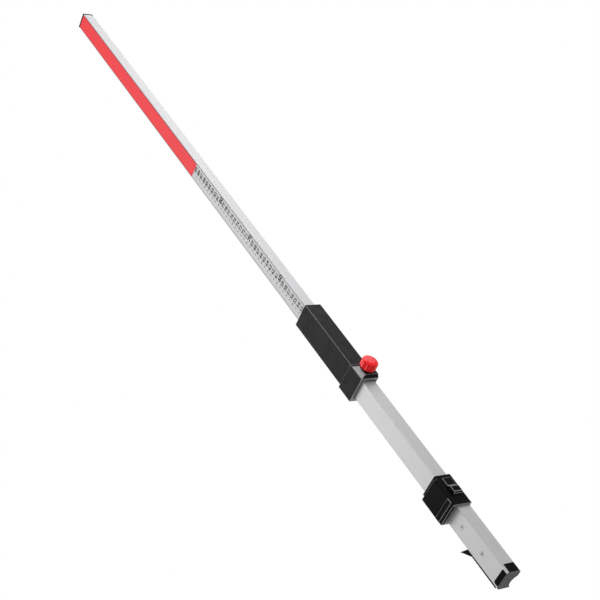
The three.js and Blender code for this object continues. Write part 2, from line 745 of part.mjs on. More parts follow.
function knob() {
  const outline = new THREE.Shape();
  const steps = KNOB_LOBES * 8;
  const mean = KNOB_R - KNOB_LOBE_DEPTH / 2 - KNOB_BEVEL;
  for (let i = 0; i < steps; i++) {
    const angle = (2 * Math.PI * i) / steps;
    const radius = mean + (KNOB_LOBE_DEPTH / 2) * Math.cos(KNOB_LOBES * angle);
    const method = i === 0 ? "moveTo" : "lineTo";
    outline[method](radius * Math.cos(angle), radius * Math.sin(angle));
  }
  outline.closePath();
  const geometry = new THREE.ExtrudeGeometry(outline, {
    depth: KNOB_T - 2 * KNOB_BEVEL,
    bevelThickness: KNOB_BEVEL,
    bevelSize: KNOB_BEVEL,
    bevelSegments: 2,
  });
  geometry.translate(0, 0, KNOB_BEVEL);
  geometry.rotateY(Math.PI / 2);
  geometry.translate(KNOB_BACK, CLAMP_Y, CLAMP_Z);
  const hub = turned(rod(KNOB_HUB_R, KNOB_BACK - KNOB_HUB_L, KNOB_BACK + 1), "x", CLAMP_AXIS);
  const hole = rod(STUD_R + PIN_GAP, 0, KNOB_BACK + STUD_IN_KNOB + PIN_GAP);
  return solid(geometry).add(hub).subtract(turned(hole, "x", CLAMP_AXIS));
}

// ---------------------------------------------------------------- receiver carriage

function carriageBody() {
  const upright = (left, front, z0, z1) =>
    post(
      left + SLIDER_SIDE, front + SLIDER_BACK, SLIDER_CORNER, z0, z1,
      (SLIDER_SIDE - left) / 2, (SLIDER_BACK - front) / 2,
    );
  const neckZ = SLIDER_TOP - NECK_H;
  const ribZ = SLIDER_Z + RIB_Z;
  const rib = block(
    RIB_INSET - SLIDER_LEFT, SLIDER_SIDE - RIB_INSET, -SLIDER_FRONT - RIB_PROUD, 0, ribZ, ribZ + RIB_H,
  );
  const seatPocket = block(
    SEAT_POCKET_INSET - SLIDER_LEFT, SLIDER_SIDE - SEAT_POCKET_INSET,
    SEAT_POCKET_WALL - SLIDER_FRONT, -NECK_FRONT,
    SLIDER_Z - 1, SLIDER_Z + SEAT_POCKET_H,
  );
  let body = upright(SLIDER_LEFT, SLIDER_FRONT, SLIDER_Z, neckZ)
    .add(upright(SLIDER_LEFT - NECK_LEFT, NECK_FRONT, SLIDER_Z, SLIDER_TOP))
    .add(rib)
    .subtract(seatPocket);
  body = body.subtract(
    post(CARRIAGE_BORE_W, CARRIAGE_BORE_D, OUTER_CORNER, SLIDER_Z - 1, SLIDER_TOP + 1),
  );
  // room for the lever: a shallow pocket, deeper and wider where its lower end is pressed in
  const sideRoom = LEVER_W / 2 + FIT_GAP;
  const pocket = (depth, front, z0, z1) =>
    block(
      SLIDER_SIDE - depth, SLIDER_SIDE + 2,
      LEVER_Y - sideRoom - front, LEVER_Y + sideRoom,
      z0, z1,
    );
  const pressTop = LEVER_PIVOT_Z + LEVER_BARREL_R + FIT_GAP;
  const floorZ = LEVER_BOTTOM_Z - 2 * FIT_GAP;
  body = body
    .subtract(pocket(LEVER_POCKET, 0, LEVER_PIVOT_Z, LEVER_TOP_Z + 2 * FIT_GAP))
    .subtract(pocket(LEVER_PRESS_POCKET, 0, floorZ, pressTop))
    .subtract(pocket(LEVER_PRESS_POCKET, LEVER_PRESS_FRONT, floorZ, floorZ + LEVER_PRESS_H));
  const padRoom = BRAKE_PAD_W / 2 + 2 * FIT_GAP;
  const padWindow = block(
    0, SLIDER_SIDE + 1,
    LEVER_Y - padRoom, LEVER_Y + padRoom,
    BRAKE_PAD_Z - BRAKE_PAD_ROOM, BRAKE_PAD_Z + BRAKE_PAD_H + BRAKE_PAD_ROOM,
  );
  return body.subtract(padWindow).subtract(leverPinSolid(PIN_GAP, 1));
}

// The lever's pin, driven in from the carriage's back; `extra` lengthens the hole past the back
function leverPinSolid(gap, extra) {
  const start = LEVER_Y - LEVER_W / 2 - FIT_GAP - LEVER_PIN_HOLD - gap;
  const end = SLIDER_BACK - FIT_GAP + extra;
  return turned(rod(LEVER_PIN_R + gap, start, end), "y", [LEVER_PIVOT_X, 0, LEVER_PIVOT_Z]);
}

function brakeLever() {
  const y0 = LEVER_Y - LEVER_W / 2;
  const y1 = LEVER_Y + LEVER_W / 2;
  const plate = block(LEVER_INNER, LEVER_OUTER, y0, y1, LEVER_BOTTOM_Z, LEVER_TOP_Z);
  const crest = LEVER_OUTER + THUMB_PROUD;
  const thumb = sideways(
    [
      [LEVER_OUTER - 0.5, LEVER_BOTTOM_Z],
      [crest, LEVER_BOTTOM_Z + THUMB_CREST[0] * THUMB_H],
      [crest, LEVER_BOTTOM_Z + THUMB_CREST[1] * THUMB_H],
      [LEVER_OUTER, LEVER_BOTTOM_Z + THUMB_H],
      [LEVER_OUTER - 0.5, LEVER_BOTTOM_Z + THUMB_H],
    ],
    y0 + FIT_GAP,
    y1 - FIT_GAP,
  );
  const barrel = turned(
    rod(LEVER_BARREL_R, -LEVER_W / 2, LEVER_W / 2), "y", [LEVER_PIVOT_X, LEVER_Y, LEVER_PIVOT_Z],
  );
  const padHalf = BRAKE_PAD_W / 2;
  const padBack = OUTER_W / 2 + TOUCH_GAP + BRAKE_PAD_T;
  const web = block(
    padBack, LEVER_INNER + 1,
    LEVER_Y - padHalf, LEVER_Y + padHalf,
    BRAKE_PAD_Z, BRAKE_PAD_Z + BRAKE_PAD_H,
  );
  return plate.add(thumb).add(barrel).add(web).subtract(leverPinSolid(PIN_GAP, 0));
}

function brakePad() {
  const start = OUTER_W / 2 + TOUCH_GAP;
  const half = BRAKE_PAD_W / 2;
  return block(
    start, start + BRAKE_PAD_T, LEVER_Y - half, LEVER_Y + half, BRAKE_PAD_Z, BRAKE_PAD_Z + BRAKE_PAD_H,
  );
}

function leverSpring() {
  const x0 = SLIDER_SIDE - LEVER_PRESS_POCKET;
  const x1 = LEVER_INNER;
  const length = x1 - x0 - 2 * LEVER_SPRING_WIRE - 2 * TOUCH_GAP;
  return coil(LEVER_SPRING_R, LEVER_SPRING_WIRE, LEVER_SPRING_TURNS, length, "x", [
    (x0 + x1) / 2, LEVER_Y, LEVER_SPRING_Z,
  ]);
}

function liner(side) {
  const near = OUTER_D / 2 + SLIDE_GAP;
  const far = near + LINER_T;
  const z0 = SLIDER_Z + LINER_INSET;
  const z1 = SLIDER_TOP - LINER_INSET;
  const y0 = Math.min(side * near, side * far);
  const y1 = Math.max(side * near, side * far);
  return block(-LINER_W / 2, LINER_W / 2, y0, y1, z0, z1);
}

// ---------------------------------------------------------------- the assembly

const levelingRod = new THREE.Group();

function add(parent, name, body, look) {
  const mesh = new THREE.Mesh(geometryOf(body), look());
  mesh.name = name;
  parent.add(mesh);
}

const footScrew = (at) => screw(-OUTER_D / 2, 1, FOOT_SCREW_ZS[at], FOOT_SCREW_L);
const sleeveScrewL = SLEEVE_D / 2 - BORE_D / 2 - PIN_GAP;
const sleeveScrew = (at) => screw(SLEEVE_D / 2, -1, SLEEVE_SCREW_ZS[at], sleeveScrewL);

const lower = new THREE.Group();
add(lower, "outer_tube", outerTube(), ANODISED);
add(lower, "foot_block", footBlock(), DEEP_BLACK);
add(lower, "foot_plate", footPlate(), PLATE_GREY);
add(lower, "foot_buffer", footBuffer(), DARK_RUBBER);
add(lower, "foot_screw_lower", footScrew(0), ZINC_STEEL);
add(lower, "foot_screw_upper", footScrew(1), ZINC_STEEL);
add(lower, "clip_pin", clipPinSolid(0), ZINC_STEEL);
add(lower, "clip_spring", clipSpring(), SPRING_STEEL);
add(lower, "sleeve", sleeve(), BLACK_POLYMER);
add(lower, "guide_bush", guideBush(), WHITE_ACETAL);
add(lower, "sleeve_screw_lower", sleeveScrew(0), ZINC_STEEL);
add(lower, "sleeve_screw_upper", sleeveScrew(1), ZINC_STEEL);
add(lower, "stop_pin", stopPin(0, 0), ZINC_STEEL);
add(lower, "threaded_insert", threadedInsert(), BRASS);
add(lower, "knob_washer", knobWasher(), WHITE_ACETAL);

const clip = new THREE.Group();
add(clip, "clip_lever", clipLever(), DEEP_BLACK);

const upper = new THREE.Group();
add(upper, "inner_tube", innerTube(), ANODISED);
add(upper, "scale_tape", tape(INNER_BOTTOM, RED_BOTTOM - TAPE_JOINT), SCALE_FILM);
add(upper, "red_tape", tape(RED_BOTTOM, INNER_TOP), RED_FILM);
add(upper, "top_cap", topCap(), DEEP_BLACK);
add(upper, "lower_glide", lowerGlide(), WHITE_ACETAL);

const clamp = new THREE.Group();
add(clamp, "clamp_shoe", clampShoe(), DARK_RUBBER);
add(clamp, "knob", knob(), RED_GLOSS);
add(clamp, "knob_stud", knobStud(), ZINC_STEEL);

const carriage = new THREE.Group();
add(carriage, "carriage_body", carriageBody(), DEEP_BLACK);
add(carriage, "liner_front", liner(-1), WHITE_ACETAL);
add(carriage, "liner_back", liner(1), WHITE_ACETAL);
add(carriage, "lever_pin", leverPinSolid(0, 0), ZINC_STEEL);
add(carriage, "lever_spring", leverSpring(), SPRING_STEEL);
add(carriage, "brake_lever", brakeLever(), DEEP_BLACK);
add(carriage, "brake_pad", brakePad(), DARK_RUBBER);

levelingRod.add(lower, clip, upper, clamp, carriage);

export default levelingRod;
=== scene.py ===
# %% [markdown]
# # A telescopic leveling rod
# A leveling rod is a tall ruler that a surveyor's helper holds upright on the ground. This one is two
# rectangular aluminium tubes that slide in each other. A black sleeve with a red knob clamps them, a small
# black carriage slides on the lower tube and holds a laser receiver, and a plastic foot closes the bottom.
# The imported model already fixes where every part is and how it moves. This lesson gives each part its
# real edges, grain, print and finish.

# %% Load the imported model
import json
import math

import bpy
from mathutils import Matrix, Vector


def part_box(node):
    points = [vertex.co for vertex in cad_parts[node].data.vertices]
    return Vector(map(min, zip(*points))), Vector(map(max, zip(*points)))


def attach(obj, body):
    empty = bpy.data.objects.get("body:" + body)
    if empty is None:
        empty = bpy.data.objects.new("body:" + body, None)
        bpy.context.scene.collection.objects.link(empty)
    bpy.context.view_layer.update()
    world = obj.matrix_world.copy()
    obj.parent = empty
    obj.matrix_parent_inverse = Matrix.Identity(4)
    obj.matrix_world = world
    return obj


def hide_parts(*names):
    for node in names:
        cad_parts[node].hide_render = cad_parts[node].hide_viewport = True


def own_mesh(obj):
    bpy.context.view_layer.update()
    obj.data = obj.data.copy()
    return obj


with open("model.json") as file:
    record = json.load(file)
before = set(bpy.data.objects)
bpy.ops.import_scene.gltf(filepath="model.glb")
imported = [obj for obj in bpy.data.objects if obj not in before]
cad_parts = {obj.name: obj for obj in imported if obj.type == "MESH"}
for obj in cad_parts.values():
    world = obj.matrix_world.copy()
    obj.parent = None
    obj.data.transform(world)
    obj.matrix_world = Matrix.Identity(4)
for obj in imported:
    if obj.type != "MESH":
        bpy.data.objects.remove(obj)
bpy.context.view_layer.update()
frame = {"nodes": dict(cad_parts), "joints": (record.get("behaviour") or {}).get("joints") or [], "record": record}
MM = 0.001

# %% [markdown]
# ## Camera
# The rod is seen from its foot, so it runs away from the eye and looks thinner at the top. A long lens
# keeps that gentle. The view direction is written as an azimuth, an elevation and a roll, which are easier
# to read and to correct than a matrix. The camera is rolled, so that the rod crosses the frame from corner
# to corner.

# %% The camera
azimuth = math.radians(40.22)
elevation = math.radians(-36.29)
roll = math.radians(-37.19)
forward = Vector(
    (
        -math.sin(azimuth) * math.cos(elevation),
        math.cos(azimuth) * math.cos(elevation),
        -math.sin(elevation),
    )
)
level = Vector((math.cos(azimuth), math.sin(azimuth), 0))
upright = level.cross(forward)
right = math.cos(roll) * level + math.sin(roll) * upright
up = math.cos(roll) * upright - math.sin(roll) * level

lens = bpy.data.cameras.new("camera")
lens.lens = 78.63
lens.sensor_width = 36
lens.clip_end = 60
camera = bpy.data.objects.new("camera", lens)
bpy.context.scene.collection.objects.link(camera)
turn = Matrix((right, up, -forward)).transposed().to_4x4()
camera.matrix_world = Matrix.Translation((1.0389, -1.2229, -0.6269)) @ turn
bpy.context.scene.camera = camera
print("camera looks along", tuple(round(v, 3) for v in forward))

# %% [markdown]
# ## Node and colour helpers
# Colours are written as hex values, as in a paint program. Those are sRGB, and shaders want linear light,
# so one function converts them. A second function adds a shader node with its settings and links, which
# keeps each material short enough to read.

# %% Colour and node helpers
def paint(code):
    """A hex colour such as "c8cacc" as linear light, with full alpha."""
    channels = [int(code[i : i + 2], 16) / 255 for i in (0, 2, 4)]
    linear = [c / 12.92 if c <= 0.04045 else ((c + 0.055) / 1.055) ** 2.4 for c in channels]
    return (*linear, 1.0)


def add_node(tree, kind, settings=None, links=None):
    """Adds a node. A setting is an input's value, a property, or a colour ramp's stops, each a place from
    0 to 1 and a hex colour. A link is the output that feeds an input."""
    node = tree.nodes.new(kind)
    for name, value in (settings or {}).items():
        if name == "stops":
            elements = node.color_ramp.elements
            while len(elements) < len(value):
                elements.new(0.5)
            for element, (place, code) in zip(elements, value):
                element.position = place
                element.color = paint(code)
        elif name in node.inputs:
            node.inputs[name].default_value = value
        else:
            setattr(node, name, value)
    for name, output in (links or {}).items():
        tree.links.new(output, node.inputs[name])
    return node


def new_finish(name, **surface):
    """A material with one Principled shader, whose plain values are set on its own sockets."""
    finish = bpy.data.materials.new(name)
    finish.use_nodes = True
    tree = finish.node_tree
    shader = tree.nodes["Principled BSDF"]
    for socket, value in surface.items():
        shader.inputs[socket.replace("_", " ").title().replace("Ior", "IOR")].default_value = value
    place = add_node(tree, "ShaderNodeTexCoord").outputs["Object"]
    return finish, tree, shader, place


print("white is", paint("ffffff"))

# %% [markdown]
# ## The studio
# The rod stands in a pale studio. The floor is a plain pale sheet just under the foot. The eye is lower
# than the foot and looks up, so the sheet lets that view through from below. Seen from above it is an
# ordinary floor with a soft contact shadow. The surroundings are white to the eye and softer to the metal,
# as with a product on a light table.

# %% World and floor
world = bpy.data.worlds.new("pale_studio")
bpy.context.scene.world = world
world.use_nodes = True
tree = world.node_tree
tree.nodes.clear()
way = add_node(tree, "ShaderNodeTexCoord").outputs["Generated"]
height = add_node(tree, "ShaderNodeSeparateXYZ", links={"Vector": way}).outputs["Z"]
climb = add_node(
    tree, "ShaderNodeMapRange",
    {"From Min": -1.0, "From Max": 1.0, "To Min": 0.0, "To Max": 1.0},
    {"Value": height},
).outputs["Result"]
tone = add_node(
    tree, "ShaderNodeValToRGB",
    {"stops": [(0.0, "b0b0b0"), (0.42, "b8b8b8"), (0.6, "dcdcdd"), (1.0, "e6e6e8")]}, {"Fac": climb}
).outputs["Color"]
fill = add_node(tree, "ShaderNodeBackground", {"Strength": 1.0}, {"Color": tone})
white = add_node(tree, "ShaderNodeBackground", {"Color": paint("ffffff"), "Strength": 1.0})
ray = add_node(tree, "ShaderNodeLightPath").outputs["Is Camera Ray"]
both = add_node(tree, "ShaderNodeMixShader", {}, {"Fac": ray})
tree.links.new(fill.outputs[0], both.inputs[1])
tree.links.new(white.outputs[0], both.inputs[2])
add_node(tree, "ShaderNodeOutputWorld", {}, {"Surface": both.outputs[0]})

bpy.ops.object.select_all(action="DESELECT")
bpy.ops.mesh.primitive_plane_add(size=14, location=(0, 0, -0.5 * MM))
floor = bpy.context.object
floor.name = "studio_floor"
bpy.ops.object.transform_apply(location=True, rotation=True, scale=True)
sheet, tree, shader, place = new_finish("matt_floor_sheet", roughness=0.9)
mottle = add_node(
    tree, "ShaderNodeTexNoise", {"Scale": 3.0, "Detail": 3.0}, {"Vector": place}
).outputs["Fac"]
tint = add_node(tree, "ShaderNodeValToRGB", {"stops": [(0.3, "e9e9e8"), (0.7, "efefee")]}, {"Fac": mottle})
tree.links.new(tint.outputs["Color"], shader.inputs["Base Color"])
seen = add_node(tree, "ShaderNodeLightPath").outputs["Is Camera Ray"]
under = add_node(tree, "ShaderNodeNewGeometry").outputs["Backfacing"]
above = add_node(tree, "ShaderNodeMath", {"operation": "SUBTRACT"})
above.inputs[0].default_value = 1.0
tree.links.new(under, above.inputs[1])
solid = add_node(tree, "ShaderNodeMath", {"operation": "MULTIPLY"})
tree.links.new(seen, solid.inputs[0])
tree.links.new(above.outputs[0], solid.inputs[1])
clear = add_node(tree, "ShaderNodeBsdfTransparent")
pane = add_node(tree, "ShaderNodeMixShader", {}, {"Fac": solid.outputs[0]})
tree.links.new(clear.outputs[0], pane.inputs[1])
tree.links.new(shader.outputs[0], pane.inputs[2])
tree.links.new(pane.outputs[0], tree.nodes["Material Output"].inputs["Surface"])
floor.data.materials.append(sheet)
bpy.context.scene.view_settings.view_transform = "Standard"
print("floor", round(-0.5 * MM, 5), "m under the foot")

# %% [markdown]
# ## Lights
# Flat metal shows what stands where its mirror image points. The scale side mirrors the upper left of the
# room, and the knob side mirrors the upper right behind the rod. Each of those places gets a large softbox,
# and their strengths set how light each side looks.

# %% Softboxes
def softbox(name, location, target, width, watts):
    """A square area light that faces a point."""
    light = bpy.data.lights.new(name, "AREA")
    light.size = width
    light.energy = watts
    lamp = bpy.data.objects.new(name, light)
    bpy.context.scene.collection.objects.link(lamp)
    look = Vector(target) - Vector(location)
    lamp.matrix_world = Matrix.Translation(location) @ look.to_track_quat("-Z", "Y").to_matrix().to_4x4()
    return lamp


softbox("softbox_scale_side", (-1.6, -1.9, 2.3), (0, 0, 0.9), 1.8, 26)
softbox("softbox_knob_side", (1.6, 1.3, 2.6), (0, 0, 1.1), 1.6, 17)
softbox("softbox_edge", (1.5, -0.25, 1.6), (0, 0, 0.35), 0.7, 9)
softbox("softbox_low", (-1.2, 0.4, -1.2), (0, 0, 0.3), 1.4, 10)

# %% [markdown]
# ## Anodised aluminium
# The tubes are extruded aluminium, etched matt and anodised. Extruding leaves faint die lines along the
# tube, and etching gives a fine, even frost. A metal colours its own reflections, so the colour is that of
# aluminium under a clear oxide. The die lines are noise stretched along the tube, about 1 mm apart.

# %% Extruded, anodised aluminium
def extruded_aluminium(name, light, dark):
    finish, tree, shader, place = new_finish(name, metallic=0.5, roughness=0.5)
    along = add_node(
        tree, "ShaderNodeMapping",
        {"Scale": (1 / (1.1 * MM), 1 / (1.1 * MM), 1 / (180 * MM))},
        {"Vector": place},
    ).outputs["Vector"]
    lines = add_node(
        tree, "ShaderNodeTexNoise", {"Scale": 1.0, "Detail": 3.0}, {"Vector": along}
    ).outputs["Fac"]
    frost = add_node(
        tree, "ShaderNodeTexNoise", {"Scale": 1 / (0.6 * MM), "Detail": 2.0}, {"Vector": place}
    ).outputs["Fac"]
    tint = add_node(tree, "ShaderNodeValToRGB", {"stops": [(0.3, dark), (0.7, light)]}, {"Fac": lines})
    tree.links.new(tint.outputs["Color"], shader.inputs["Base Color"])
    rough = add_node(
        tree, "ShaderNodeMapRange",
        {"From Min": 0.3, "From Max": 0.7, "To Min": 0.46, "To Max": 0.56},
        {"Value": frost},
    )
    tree.links.new(rough.outputs["Result"], shader.inputs["Roughness"])
    bump = add_node(tree, "ShaderNodeBump", {"Strength": 0.25, "Distance": 0.02 * MM}, {"Height": lines})
    tree.links.new(bump.outputs["Normal"], shader.inputs["Normal"])
    return finish


anodised = extruded_aluminium("anodised_extruded_aluminium", "c5c5c6", "bebebf")
print("tube finish:", anodised.name)

# %% [markdown]
# ## Moulded plastics
# The sleeve, carriage, lever and foot are injection mouldings in black plastic. Their moulds are spark
# eroded, which prints a fine leather-like grain of about 0.3 mm on the part. The grain is drawn a little
# coarser, so that it shows. A moulding is slightly shinier where hands rub it, which a broad noise in the
# roughness gives.

# %% Grained mouldings
def moulded_plastic(name, colour, deep, roughness, grain=0.45, relief=0.03, gloss=0.5):
    finish, tree, shader, place = new_finish(name, roughness=roughness, ior=1.5, specular_ior_level=gloss)
    grit = add_node(
        tree, "ShaderNodeTexNoise", {"Scale": 1 / (grain * MM), "Detail": 2.0}, {"Vector": place}
    ).outputs["Fac"]
    hands = add_node(
        tree, "ShaderNodeTexNoise", {"Scale": 1 / (14 * MM), "Detail": 3.0}, {"Vector": place}
    ).outputs["Fac"]
    tint = add_node(tree, "ShaderNodeValToRGB", {"stops": [(0.35, deep), (0.65, colour)]}, {"Fac": grit})
    tree.links.new(tint.outputs["Color"], shader.inputs["Base Color"])
    rough = add_node(
        tree, "ShaderNodeMapRange",
        {"From Min": 0.3, "From Max": 0.7, "To Min": roughness - 0.07, "To Max": roughness + 0.07},
        {"Value": hands},
    )
    tree.links.new(rough.outputs["Result"], shader.inputs["Roughness"])
    bump = add_node(tree, "ShaderNodeBump", {"Strength": 0.5, "Distance": relief * MM}, {"Height": grit})
    tree.links.new(bump.outputs["Normal"], shader.inputs["Normal"])
    return finish


sleeve_nylon = moulded_plastic("glass_filled_nylon_spark_grain", "221f20", "171516", 0.42, gloss=0.07)
carriage_abs = moulded_plastic("black_abs_fine_grain", "0f0f10", "080809", 0.36, grain=0.35, gloss=0.03)
# A light grey on black plastic: a painted highlight for edges and faces where light falls. Its lower roughness is
# the real, shinier plastic.
painted_light_finish = moulded_plastic(
    "black_plastic_painted_light_grey", "8c8c90", "828286", 0.3, relief=0.004, gloss=0.5
)

white_acetal = moulded_plastic("natural_acetal_moulded", "ebe8e0", "e2dfd6", 0.4, grain=0.8, relief=0.01)
black_rubber = moulded_plastic("black_rubber_moulded", "1c1c1c", "131313", 0.8, grain=0.6)
# A light grey for the sole plate's chamfer and rounded edges: a painted highlight.
sole_edge_highlight = moulded_plastic("grey_sole_painted_edge_highlight", "a2a3a5", "8a8b8d", 0.4, grain=0.7)
grey_foot = moulded_plastic(
    "grey_sole_plate_cast", "4a4b4d", "38393b", 0.5, grain=0.7, relief=0.05, gloss=0.3
)
print("mouldings:", sleeve_nylon.name, carriage_abs.name)

# %% [markdown]
# ## Glossy red knob
# The knob is polished red ABS, so it has a sharp highlight over a strong, even colour. A thin clear coat is
# not needed: a low roughness does it. Slow waves in the surface keep the reflection from looking
# machined.

# %% Polished red plastic
red_gloss, tree, shader, place = new_finish(
    "polished_red_abs", roughness=0.14, ior=1.5, specular_ior_level=0.22
)
flow = add_node(
    tree, "ShaderNodeTexNoise", {"Scale": 1 / (5 * MM), "Detail": 2.0}, {"Vector": place}
).outputs["Fac"]
tint = add_node(tree, "ShaderNodeValToRGB", {"stops": [(0.35, "fa1016"), (0.65, "ff2026")]}, {"Fac": flow})
tree.links.new(tint.outputs["Color"], shader.inputs["Base Color"])
bump = add_node(tree, "ShaderNodeBump", {"Strength": 0.25, "Distance": 0.05 * MM}, {"Height": flow})
tree.links.new(bump.outputs["Normal"], shader.inputs["Normal"])
print("knob finish:", red_gloss.name)

# %% [markdown]
# ## Films and ink
# The scale is printed on a thin matt film with a metallic look, laid in the tube's shallow groove. The
# upper part carries a plain red film, as a warning mark. Film shows a faint calendering streak along its
# length. A narrow border along its cut edges is darker: painted shade for the groove's shadow.

# %% Films and printing ink
FILM_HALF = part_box("scale_tape")[1].x
EDGE_SHADE_START = 1.3 * MM
EDGE_SHADE_FULL = 0.6 * MM
# A colour mix node has sockets for several kinds of data under the same names, so these are by number.
MIX_FACTOR, MIX_FIRST, MIX_SECOND, MIX_RESULT = 0, 6, 7, 2

def laid_film(name, colour, deep, edge, metallic, roughness):
    finish, tree, shader, place = new_finish(name, metallic=metallic, roughness=roughness)
    along = add_node(
        tree, "ShaderNodeMapping", {"Scale": (1 / (2 * MM), 1 / (2 * MM), 1 / (90 * MM))}, {"Vector": place}
    ).outputs["Vector"]
    streak = add_node(
        tree, "ShaderNodeTexNoise", {"Scale": 1.0, "Detail": 3.0}, {"Vector": along}
    ).outputs["Fac"]
    face = add_node(
        tree, "ShaderNodeValToRGB", {"stops": [(0.3, deep), (0.7, colour)]}, {"Fac": streak}
    ).outputs["Color"]
    across = add_node(tree, "ShaderNodeSeparateXYZ", {}, {"Vector": place}).outputs["X"]
    away = add_node(tree, "ShaderNodeMath", {"operation": "ABSOLUTE"})
    tree.links.new(across, away.inputs[0])
    # The border is painted shade, darker towards the film's cut edges.
    edge_shade = add_node(
        tree, "ShaderNodeMapRange",
        {
            "From Min": FILM_HALF - EDGE_SHADE_START, "From Max": FILM_HALF - EDGE_SHADE_FULL,
            "To Min": 0.0, "To Max": 1.0,
        },
        {"Value": away.outputs[0]},
    ).outputs["Result"]
    film = add_node(tree, "ShaderNodeMix", {"data_type": "RGBA"})
    tree.links.new(edge_shade, film.inputs[MIX_FACTOR])
    tree.links.new(face, film.inputs[MIX_FIRST])
    film.inputs[MIX_SECOND].default_value = paint(edge)
    tree.links.new(film.outputs[MIX_RESULT], shader.inputs["Base Color"])
    bump = add_node(tree, "ShaderNodeBump", {"Strength": 0.2, "Distance": 0.01 * MM}, {"Height": streak})
    tree.links.new(bump.outputs["Normal"], shader.inputs["Normal"])
    return finish


# Each film's third colour is the painted shade of its border.
scale_film = laid_film("matt_silver_scale_film", "c3c3c4", "bdbdbe", "8c8c8e", 0.4, 0.55)
red_film = laid_film("matt_red_film", "ff323b", "fb2c36", "8c2a30", 0.0, 0.5)
red_film.node_tree.nodes["Principled BSDF"].inputs["Specular IOR Level"].default_value = 0.3
ink, tree, shader, place = new_finish("screen_printed_ink", roughness=0.6)
speck = add_node(
    tree, "ShaderNodeTexNoise", {"Scale": 1 / (0.5 * MM), "Detail": 2.0}, {"Vector": place}
).outputs["Fac"]
tint = add_node(tree, "ShaderNodeValToRGB", {"stops": [(0.3, "0b0c0d"), (0.7, "17181a")]}, {"Fac": speck})
tree.links.new(tint.outputs["Color"], shader.inputs["Base Color"])
print("films:", scale_film.name, red_film.name)

# %% [markdown]
# ## Small metal parts
# Screws and pins are zinc-plated steel, springs are drawn spring steel, and the nut insert is brass.
# All three are metals, told apart by colour and by how rough the making left them.

# %% Plated steel, spring steel and brass
def small_metal(name, colour, deep, roughness):
    finish, tree, shader, place = new_finish(name, metallic=1.0, roughness=roughness)
    cloud = add_node(
        tree, "ShaderNodeTexNoise", {"Scale": 1 / (1.2 * MM), "Detail": 3.0}, {"Vector": place}
    ).outputs["Fac"]
    tint = add_node(tree, "ShaderNodeValToRGB", {"stops": [(0.3, deep), (0.7, colour)]}, {"Fac": cloud})
    tree.links.new(tint.outputs["Color"], shader.inputs["Base Color"])
    rough = add_node(
        tree, "ShaderNodeMapRange",
        {"From Min": 0.3, "From Max": 0.7, "To Min": roughness - 0.08, "To Max": roughness + 0.08},
        {"Value": cloud},
    )
    tree.links.new(rough.outputs["Result"], shader.inputs["Roughness"])
    return finish


zinc_steel = small_metal("zinc_plated_steel", "c4c6c8", "a5a8ab", 0.3)
# Near-black for the inside of the screws' cross recesses: painted shade.
recess_shade = small_metal("zinc_steel_painted_recess_shade", "2c2c2d", "1a1a1b", 0.6)
spring_steel = small_metal("drawn_spring_steel", "8f9296", "75787c", 0.3)
brass = small_metal("turned_brass", "cfae62", "b8954a", 0.3)
slot_finish = {
    "anodised": anodised,
    "black_polymer": sleeve_nylon,
    "deep_black": carriage_abs,
    "plate_grey": grey_foot,
    "rubber": black_rubber,
    "zinc_steel": zinc_steel,
    "spring_steel": spring_steel,
    "brass": brass,
    "acetal": white_acetal,
    "scale_film": scale_film,
    "red_film": red_film,
    "red_gloss": red_gloss,
}
print(len(slot_finish), "finishes")

# %% Every CAD node first gets the finish of its slot
for part in frame["record"]["subparts"]:
    slots = frame["nodes"][part["node"]].data.materials
    slots.clear()
    slots.append(slot_finish[part["material_slot"]])

# %% [markdown]
# ## Shaping tools
# Each new piece starts as a primitive at its real size and place, and is then shaped the way one works by
# hand: pull a face, slide an edge, round a corner, cut a pocket with another solid. Selecting with a mouse
# is replaced by a test on a face's middle and normal, or on an edge's two ends. The model's own places
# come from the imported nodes, so a piece always lands where its node is.

# %% Selecting and moving
NEAR = 0.02 * MM


def deselect_all():
    if bpy.context.mode != "OBJECT":
        bpy.ops.object.mode_set(mode="OBJECT")
    bpy.ops.object.select_all(action="DESELECT")


def work_on(piece):
    deselect_all()
    piece.select_set(True)
    bpy.context.view_layer.objects.active = piece


def choose(piece, kind, test):
    """Opens the piece in edit mode with only the faces, edges or corners that pass the test selected."""
    work_on(piece)
    bpy.ops.object.mode_set(mode="EDIT")
    bpy.ops.mesh.select_mode(type=kind)
    bpy.ops.mesh.select_all(action="DESELECT")
    bpy.ops.object.mode_set(mode="OBJECT")
    corners = piece.data.vertices
    if kind == "FACE":
        for face in piece.data.polygons:
            face.select = test(face.center, face.normal)
    elif kind == "EDGE":
        for edge in piece.data.edges:
            edge.select = test(*(corners[i].co for i in edge.vertices))
    else:
        for corner in corners:
            corner.select = test(corner.co)
    bpy.ops.object.mode_set(mode="EDIT")


def settle(piece):
    """Moves the piece's place, turn and scale into its mesh."""
    work_on(piece)
    bpy.ops.object.transform_apply(location=True, rotation=True, scale=True)
    return piece


def pull(piece, test, move):
    """Extrudes the chosen faces."""
    choose(piece, "FACE", test)
    bpy.ops.mesh.extrude_region_move(TRANSFORM_OT_translate={"value": move})
    deselect_all()


def slide(piece, kind, test, move):
    choose(piece, kind, test)
    bpy.ops.transform.translate(value=move)
    deselect_all()


def score(piece, point, normal):
    """Draws a line of edges round the piece, where a plane crosses it."""
    choose(piece, "FACE", lambda centre, normal: True)
    bpy.ops.mesh.bisect(plane_co=point, plane_no=normal)
    deselect_all()


def round_edges(piece, test, width, segments=4):
    choose(piece, "EDGE", test)
    bpy.ops.mesh.bevel(offset=width, segments=segments, affect="EDGES")
    deselect_all()


def is_upright(a, b):
    return abs(a.x - b.x) < NEAR and abs(a.y - b.y) < NEAR


print("selection tolerance", round(NEAR / MM, 3), "mm")

